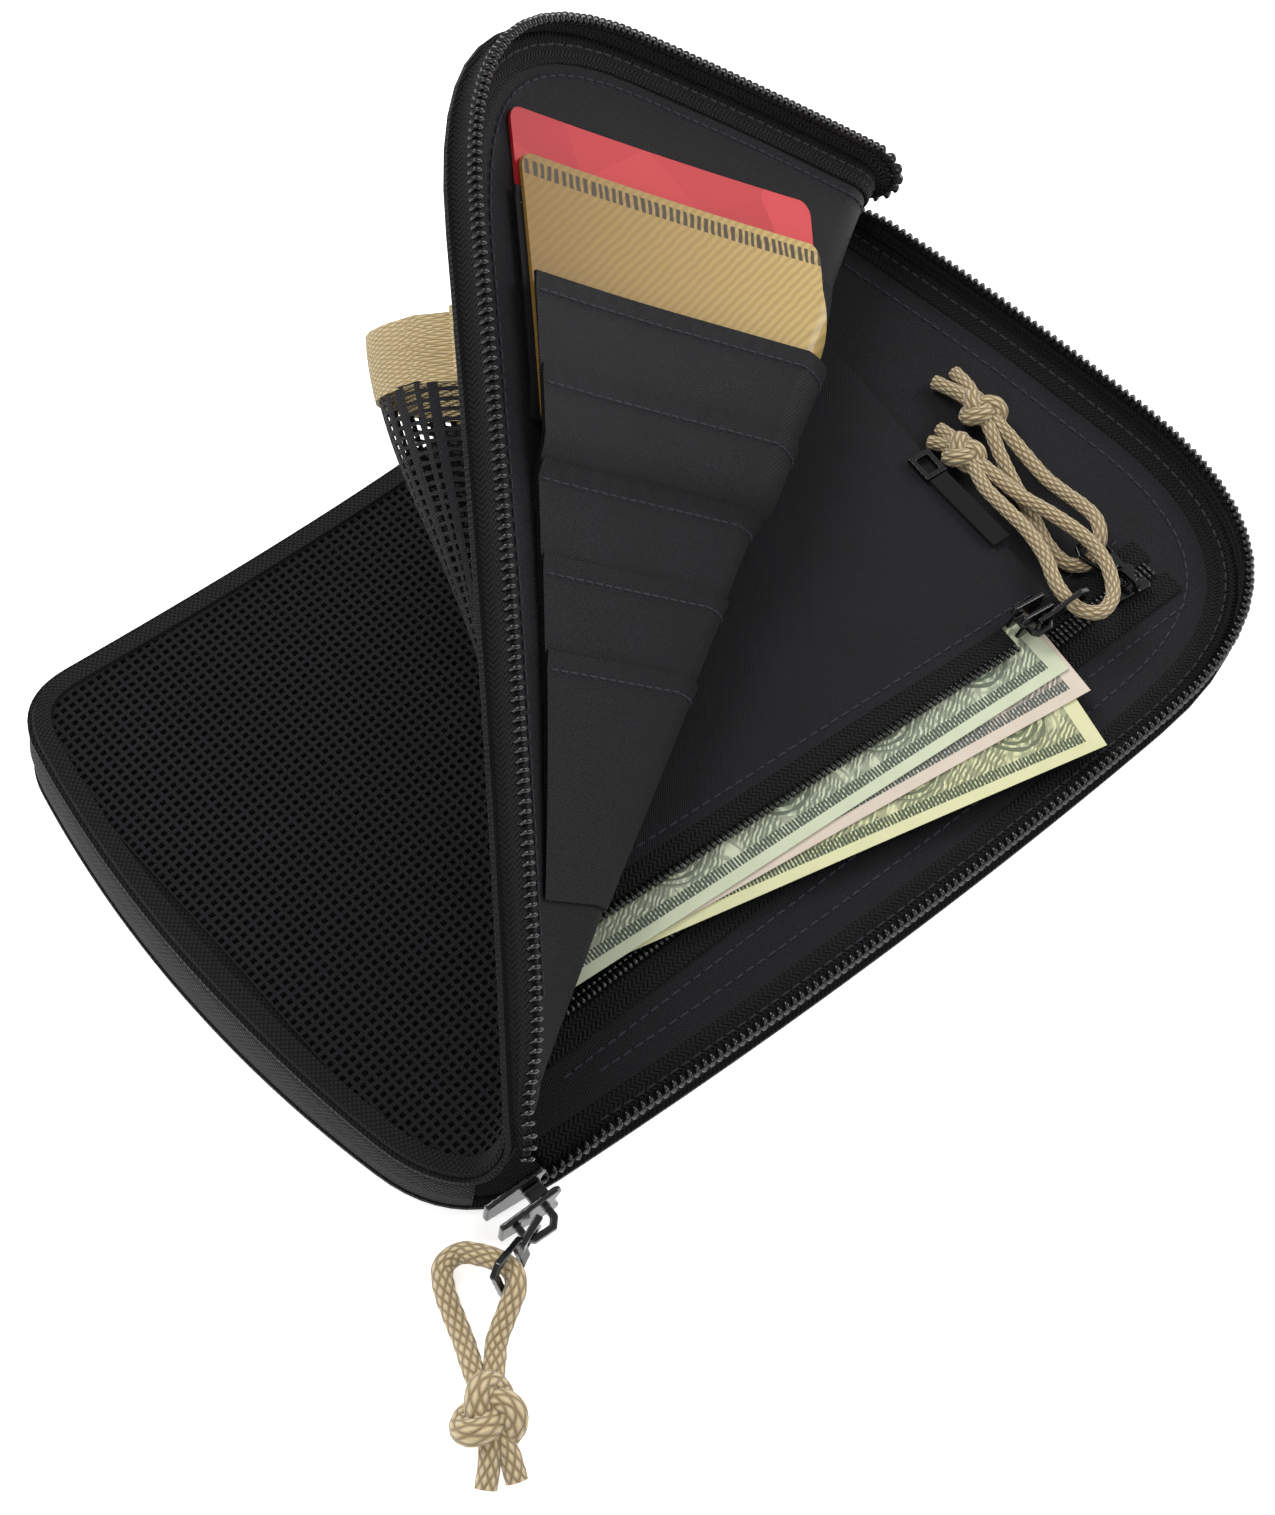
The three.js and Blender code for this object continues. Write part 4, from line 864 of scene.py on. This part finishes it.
def red_card_material():
    """Printed and laminated PVC: broad flat facets of red under a thin gloss."""
    m = Nodes("card_printed_red", 0.3, Coat_Weight=0.4)
    uv = m.uv(angle=0.5)
    facets = m.add("TexVoronoi", 1, inputs={"Vector": m.uv(), "Scale": 0.035, "Randomness": 0.8},
                   voronoi_dimensions="2D")
    tone = m.add("SeparateXYZ", inputs={"Vector": facets})
    m.set("Base Color", m.mix(m.ramp(tone, 0, 1), "#b01c26", "#cf3a3d"))
    m.bump(m.noise(uv, 0.4), 0.02)
    return m.material


def gold_card_material():
    """Printed and laminated PVC: gold with fine engine-turned lines and a dark patterned border. The gold
    grows lighter along the card, a painted reflection.
    """
    m = Nodes("card_printed_gold", 0.3, Coat_Weight=0.4)
    uv = m.uv()
    x = m.add("SeparateXYZ", inputs={"Vector": uv})
    y = m.add("SeparateXYZ", 1, inputs={"Vector": uv})
    # Painted reflection: the gold is painted lighter from y 8 mm to y 92 mm.
    glow = m.ramp(y, 8, 92)
    base = m.mix(glow, "#8a6a2f", "#c4a765")
    fine = m.wave(m.uv(angle=0.7), 1.6, distortion=2.0)
    base = m.mix(m.math("MULTIPLY", fine, 0.35), base, "#6c5426")
    edge_x = m.math("GREATER_THAN", x, 184.6)
    edge_x2 = m.math("LESS_THAN", x, 187.6)
    border = m.math("MULTIPLY", edge_x, edge_x2)
    scroll = m.wave(m.uv(), 2.0, "Y", 3.0)
    m.set("Base Color", m.mix(m.math("MULTIPLY", border, m.ramp(scroll, 0.2, 0.6)), base, "#3c3020"))
    m.bump(m.noise(uv, 0.4), 0.02)
    return m.material


red_card = sheet("card_red_print", card_outline(RED_TOP), on_front,
                 POCKET_AT, POCKET_AT + CARD_THICK, red_card_material(), 4)
body_piece(red_card, "card_red")
gold_at = POCKET_AT + CARD_ROOM + LAYER
gold_card = sheet("card_gold_print", card_outline(GOLD_TOP), on_front,
                  gold_at, gold_at + CARD_THICK, gold_card_material(), 4)
body_piece(gold_card, "card_gold")

# ---- Pouch, notes and the zips inside ---------------------------------------------------------
MOUTH_L, MOUTH_R = np.array([20, 38.0]), np.array([170, 24.4])
M_DIR = (MOUTH_R - MOUTH_L) / np.linalg.norm(MOUTH_R - MOUTH_L)
M_DOWN = np.array([M_DIR[1], -M_DIR[0]])


def at_mouth(x, down_by):
    return MOUTH_L + M_DIR * (x - MOUTH_L[0]) / M_DIR[0] + M_DOWN * down_by


def dense(corners, step=3.0):
    out = []
    for a, b in zip(corners, corners[1:] + corners[:1]):
        a, b = np.array(a, float), np.array(b, float)
        n = max(1, int(np.linalg.norm(b - a) / step))
        out += [a + (b - a) * i / n for i in range(n)]
    return np.array(out)


pouch_plan = dense([MOUTH_L, MOUTH_R, (184, 120), (14, 120)])
body_piece(sheet("pouch_back_cloth", pouch_plan, on_pouch, 4.2, 4.5, panel_cloth, 5), "pouch_back")
body_piece(sheet("pouch_front_cloth", pouch_plan, on_pouch, 7.6,
                 lambda x, y: 8.0 + 0.5 * undulate(x, y), panel_cloth, 2.5), "pouch_front")
tape_end = 161.5 - 4.5 - CLEAR
for side, level in (("lower", 4.2), ("upper", 7.6)):
    plan = dense([at_mouth(22, 4.6), at_mouth(tape_end, 4.6), at_mouth(tape_end, 0.0), at_mouth(22, 0.0)])
    body_piece(sheet(f"pouch_tape_{side}_knit", plan, on_pouch, level, level + 0.35, tape_knit, 2),
               f"pouch_tape_{side}")
    xs = np.arange(23, tape_end - 0.5, 1.3)
    places = []
    for x in xs:
        p = at_mouth(x, 5.6)
        c = on_pouch(p[:1], p[1:], level + 0.8)[0]
        leg = M_DOWN + 0.3 * M_DIR
        places.append(basis(c, np.array([leg[0], leg[1], 0]), np.array([0, 0, 1.0])))
    v, f = capsule(2.0, 0.42, 8, bow=0.2, flat=1.5)
    body_piece(many(f"pouch_coil_{side}_loops", v, f, places, coil_gloss), f"pouch_coil_{side}")
line = [at_mouth(x, -2.4) for x in np.arange(22, 168, 2)]
body_piece(sewn("pouch_stitches_mouth", on_pouch, line, lambda x, y: 8.05 + 0.5 * undulate(x, y), 1))

INSET_TURN = math.radians(-1.6)
INSET_DIR = np.array([math.cos(INSET_TURN), math.sin(INSET_TURN)])
INSET_UP = np.array([-INSET_DIR[1], INSET_DIR[0]])
INSET_RIGHT = np.array([197, 17.1])
for side, sign in (("lower", -1), ("upper", 1)):
    def inset_at(x, across, sign=sign):
        return INSET_RIGHT + INSET_DIR * x + INSET_UP * across * sign
    corners = [inset_at(-172, 2.15), inset_at(0, 2.15), inset_at(0, 7.35), inset_at(-172, 7.35)]
    plan = dense(corners if sign > 0 else corners[::-1])
    body_piece(sheet(f"inset_tape_{side}_knit", plan, on_back, 2.4, 2.75, tape_knit, 2), f"inset_tape_{side}")
    places = []
    for x in np.arange(-166.8, -2.6, 1.3):
        p = inset_at(x, 0.75)
        across = INSET_UP * sign
        places.append(basis(np.array([p[0], p[1], 3.3]), np.array([across[0], across[1], 0]),
                            np.array([0, 0, 1.0])))
    v, f = capsule(2.6, 0.5, 8, bow=0.25, flat=1.1)
    body_piece(many(f"inset_coil_{side}_loops", v, f, places, coil_gloss), f"inset_coil_{side}")
for across, x0, x1 in ((-10.4, -172, 0), (9.4, -172, 0)):
    line = [INSET_RIGHT + INSET_DIR * x + INSET_UP * across for x in np.arange(x0, x1, 2)]
    body_piece(sewn(f"inset_stitches_{'low' if across < 0 else 'high'}", on_back, line,
                    lambda x, y: LINING_END + 0.36 + 0.45 * undulate(x, y), 1))


def turned_about_z(m, vector, angle):
    return m.add("VectorRotate", inputs={"Vector": vector, "Angle": angle, "Axis": (0, 0, 1)},
                 rotation_type="AXIS_ANGLE")


NOTE_PAPER = (("#d2d2aa", "#c0c092"), ("#d0c4b4", "#beb0a2"), ("#c6ccb2", "#b2bb9f"))
NOTE_INK = ("#394735", "#3b4744", "#36443a")
# Rings of engraving: centre, reach and line spacing in millimetres from the note's lower right corner
ROSETTES = ((-15, 13, 9, 1.6), (-40, 14, 10, 1.4), (-66, 13, 9, 1.6), (-92, 14, 10, 1.4), (-118, 13, 9, 1.6))


def note_material(index, corner, angle):
    """Cotton banknote paper: soft fibre, and engraved lines a little proud of it."""
    m = Nodes(f"banknote_engraved_{index + 1}", 0.75)
    uv = m.uv(offset=(-corner[0], -corner[1], 0))
    uv = turned_about_z(m, uv, -angle)
    x = m.add("SeparateXYZ", inputs={"Vector": uv})
    y = m.add("SeparateXYZ", 1, inputs={"Vector": uv})
    paper = m.mix(m.noise(uv, 6, 4), *NOTE_PAPER[index])
    low = m.math("GREATER_THAN", y, 2.4)
    side_in = m.math("LESS_THAN", x, -3.5)
    field = m.math("MULTIPLY", low, side_in)
    band = m.math("MULTIPLY", field, m.math("LESS_THAN", y, 4.6))
    lines_a = m.wave(turned_about_z(m, uv, 0.9), 0.9, "X", 6.0)
    lines_b = m.wave(uv, 2.6, "X", 12.0)
    scroll = m.math("MULTIPLY", m.ramp(lines_a, 0.3, 0.5), m.ramp(m.noise(uv, 7, 1), 0.36, 0.48))
    ink = m.math("MULTIPLY", field, m.math("MAXIMUM", m.math("MULTIPLY", scroll, 0.75),
                                           m.math("MULTIPLY", m.ramp(lines_b, 0.62, 0.72), 0.5)))
    for cx, cy, reach, fine in ROSETTES:
        gone = m.add("VectorMath", 1, inputs={0: uv, 1: (cx, cy, 0)}, operation="DISTANCE")
        rings = m.math("SINE", m.math("MULTIPLY", gone, 2 * math.pi / fine))
        spokes = m.wave(uv, 2.2, "DIAGONAL", 5.0)
        lines = m.ramp(m.math("ADD", rings, spokes), 0.2, 0.6)
        rosette = m.math("MULTIPLY", lines, m.ramp(gone, reach, reach - 1.5))
        ink = m.math("MAXIMUM", ink, m.math("MULTIPLY", rosette, 0.85))
    ink = m.math("MAXIMUM", ink, m.math("MULTIPLY", band, m.ramp(m.wave(uv, 0.8, "X"), 0.3, 0.5)))
    m.set("Base Color", m.mix(ink, paper, NOTE_INK[index]))
    m.bump(m.math("ADD", m.math("MULTIPLY", ink, 0.5), m.noise(uv, 0.5)), 0.03)
    return m.material


for i, (cx, cy, turned) in enumerate(((154.5, -6.5, -15), (161, 4.2, -9), (161, 10.4, -5.5))):
    a = math.radians(turned)
    along = np.array([-math.cos(a), -math.sin(a)]) * 156
    rise = np.array([-math.sin(a), math.cos(a)]) * 66.3
    p = np.array([cx, cy])
    level = 6.1 + 0.5 * i
    plan = dense([p, p + rise, p + rise + along, p + along])
    note = sheet(f"banknote_{i + 1}_print", plan, on_pouch,
                 lambda x, y, v=level: v + 0.12 * np.sin(x / 15),
                 lambda x, y, v=level: v + 0.17 + 0.12 * np.sin(x / 15),
                 note_material(i, (cx, cy), a), 4)
    body_piece(note, f"banknote_{i + 1}")

# Topstitch round the back lining, inside the zip's band
ring = np.arange(18, ZIP_TO - 5, 2)
loop, _ = edge_at(ring, 12.5)
body_piece(sewn("lining_stitches_back", on_back, loop,
                lambda x, y: LINING_END + 0.36 + 0.45 * undulate(x, y), 1))
loop, _ = edge_at(ring, 10.5)
body_piece(sewn("lining_stitches_front", on_front, loop,
                lambda x, y: LINING_END + 0.1 + 0.35 * undulate(x, y), 1))
loop, _ = edge_at(np.arange(12, ZIP_TO, 2), 4.4)
body_piece(sewn("zip_stitches_back", on_back, loop, LINING_END + 0.85, 1))
body_piece(sewn("zip_stitches_front", on_front, loop, LINING_END + 0.85, 1))


# ---- Metal and small CAD pieces ---------------------------------------------------------------
def rounded(node, body, material, voxel, passes):
    """The node's own shape with its edges rounded off."""
    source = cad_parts[node]
    piece = source.copy()
    piece.data = source.data.copy()
    piece.name = f"{node}_moulded"
    bpy.context.scene.collection.objects.link(piece)
    remesh = piece.modifiers.new("remesh", "REMESH")
    remesh.mode = "VOXEL"
    remesh.voxel_size = voxel * MM
    soften = piece.modifiers.new("soften", "SMOOTH")
    soften.iterations = passes
    soften.factor = 0.6
    graph = bpy.context.evaluated_depsgraph_get()
    mesh = bpy.data.meshes.new_from_object(piece.evaluated_get(graph))
    piece.modifiers.clear()
    piece.data = mesh
    mesh.materials.clear()
    mesh.materials.append(material)
    mesh.polygons.foreach_set("use_smooth", np.ones(len(mesh.polygons), dtype=bool))
    body_piece(piece, node, body=body)
    return piece


rounded("main_slider", BODY, enamel, 0.22, 5)
rounded("main_pull", "main_pull_body", enamel, 0.2, 4)
rounded("pouch_slider", BODY, enamel, 0.16, 4)
rounded("pouch_pull", "pouch_pull_body", enamel, 0.16, 3)
rounded("inset_slider", "inset_slider_body", enamel, 0.16, 4)
rounded("inset_pull", "inset_pull_body", enamel, 0.16, 3)
rounded("key_ring", BODY, enamel, 0.14, 3)
rounded("zip_end_stop", BODY, coil_gloss, 0.2, 3)
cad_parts["key_leash"].material_slots[0].material = tape_knit


for k in range(6):
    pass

# ---- Floor and lights -------------------------------------------------------------------------
floor_mesh = bpy.data.meshes.new("floor")
FLOOR_REACH, FLOOR_LEVEL = 40, -0.0003
corners = [(x * FLOOR_REACH, y * FLOOR_REACH, FLOOR_LEVEL) for x, y in ((-1, -1), (1, -1), (1, 1), (-1, 1))]
floor_mesh.from_pydata(corners, [], [(0, 1, 2, 3)])
floor = bpy.data.objects.new("floor", floor_mesh)
bpy.context.scene.collection.objects.link(floor)
white = Nodes("white_paper_lit", 0.9)
white.set("Base Color", srgb("#ffffff"))
white.set("Emission Color", srgb("#ffffff"))
white.set("Emission Strength", 0.55)
floor_mesh.materials.append(white.material)


def area_light(name, spot, target, size, power):
    data = bpy.data.lights.new(name, "AREA")
    data.size = size
    data.energy = power
    lamp = bpy.data.objects.new(name, data)
    lamp.location = spot
    lamp.rotation_euler = (Vector(target) - Vector(spot)).to_track_quat("-Z", "Y").to_euler()
    bpy.context.scene.collection.objects.link(lamp)


area_light("window", (-0.1, 0.9, 1.1), (0, 0, 0), 0.7, 14)
area_light("fill", (-0.9, -0.5, 0.9), (0, 0, 0.02), 0.8, 4)
area_light("edge", (0.9, -0.3, 0.7), (0, 0, 0), 0.5, 6)
world = bpy.data.worlds.new("studio")
world.use_nodes = True
world.node_tree.nodes["Background"].inputs["Color"].default_value = (1, 1, 1, 1)
world.node_tree.nodes["Background"].inputs["Strength"].default_value = 0.5
bpy.context.scene.world = world
bpy.context.scene.view_settings.view_transform = "Standard"
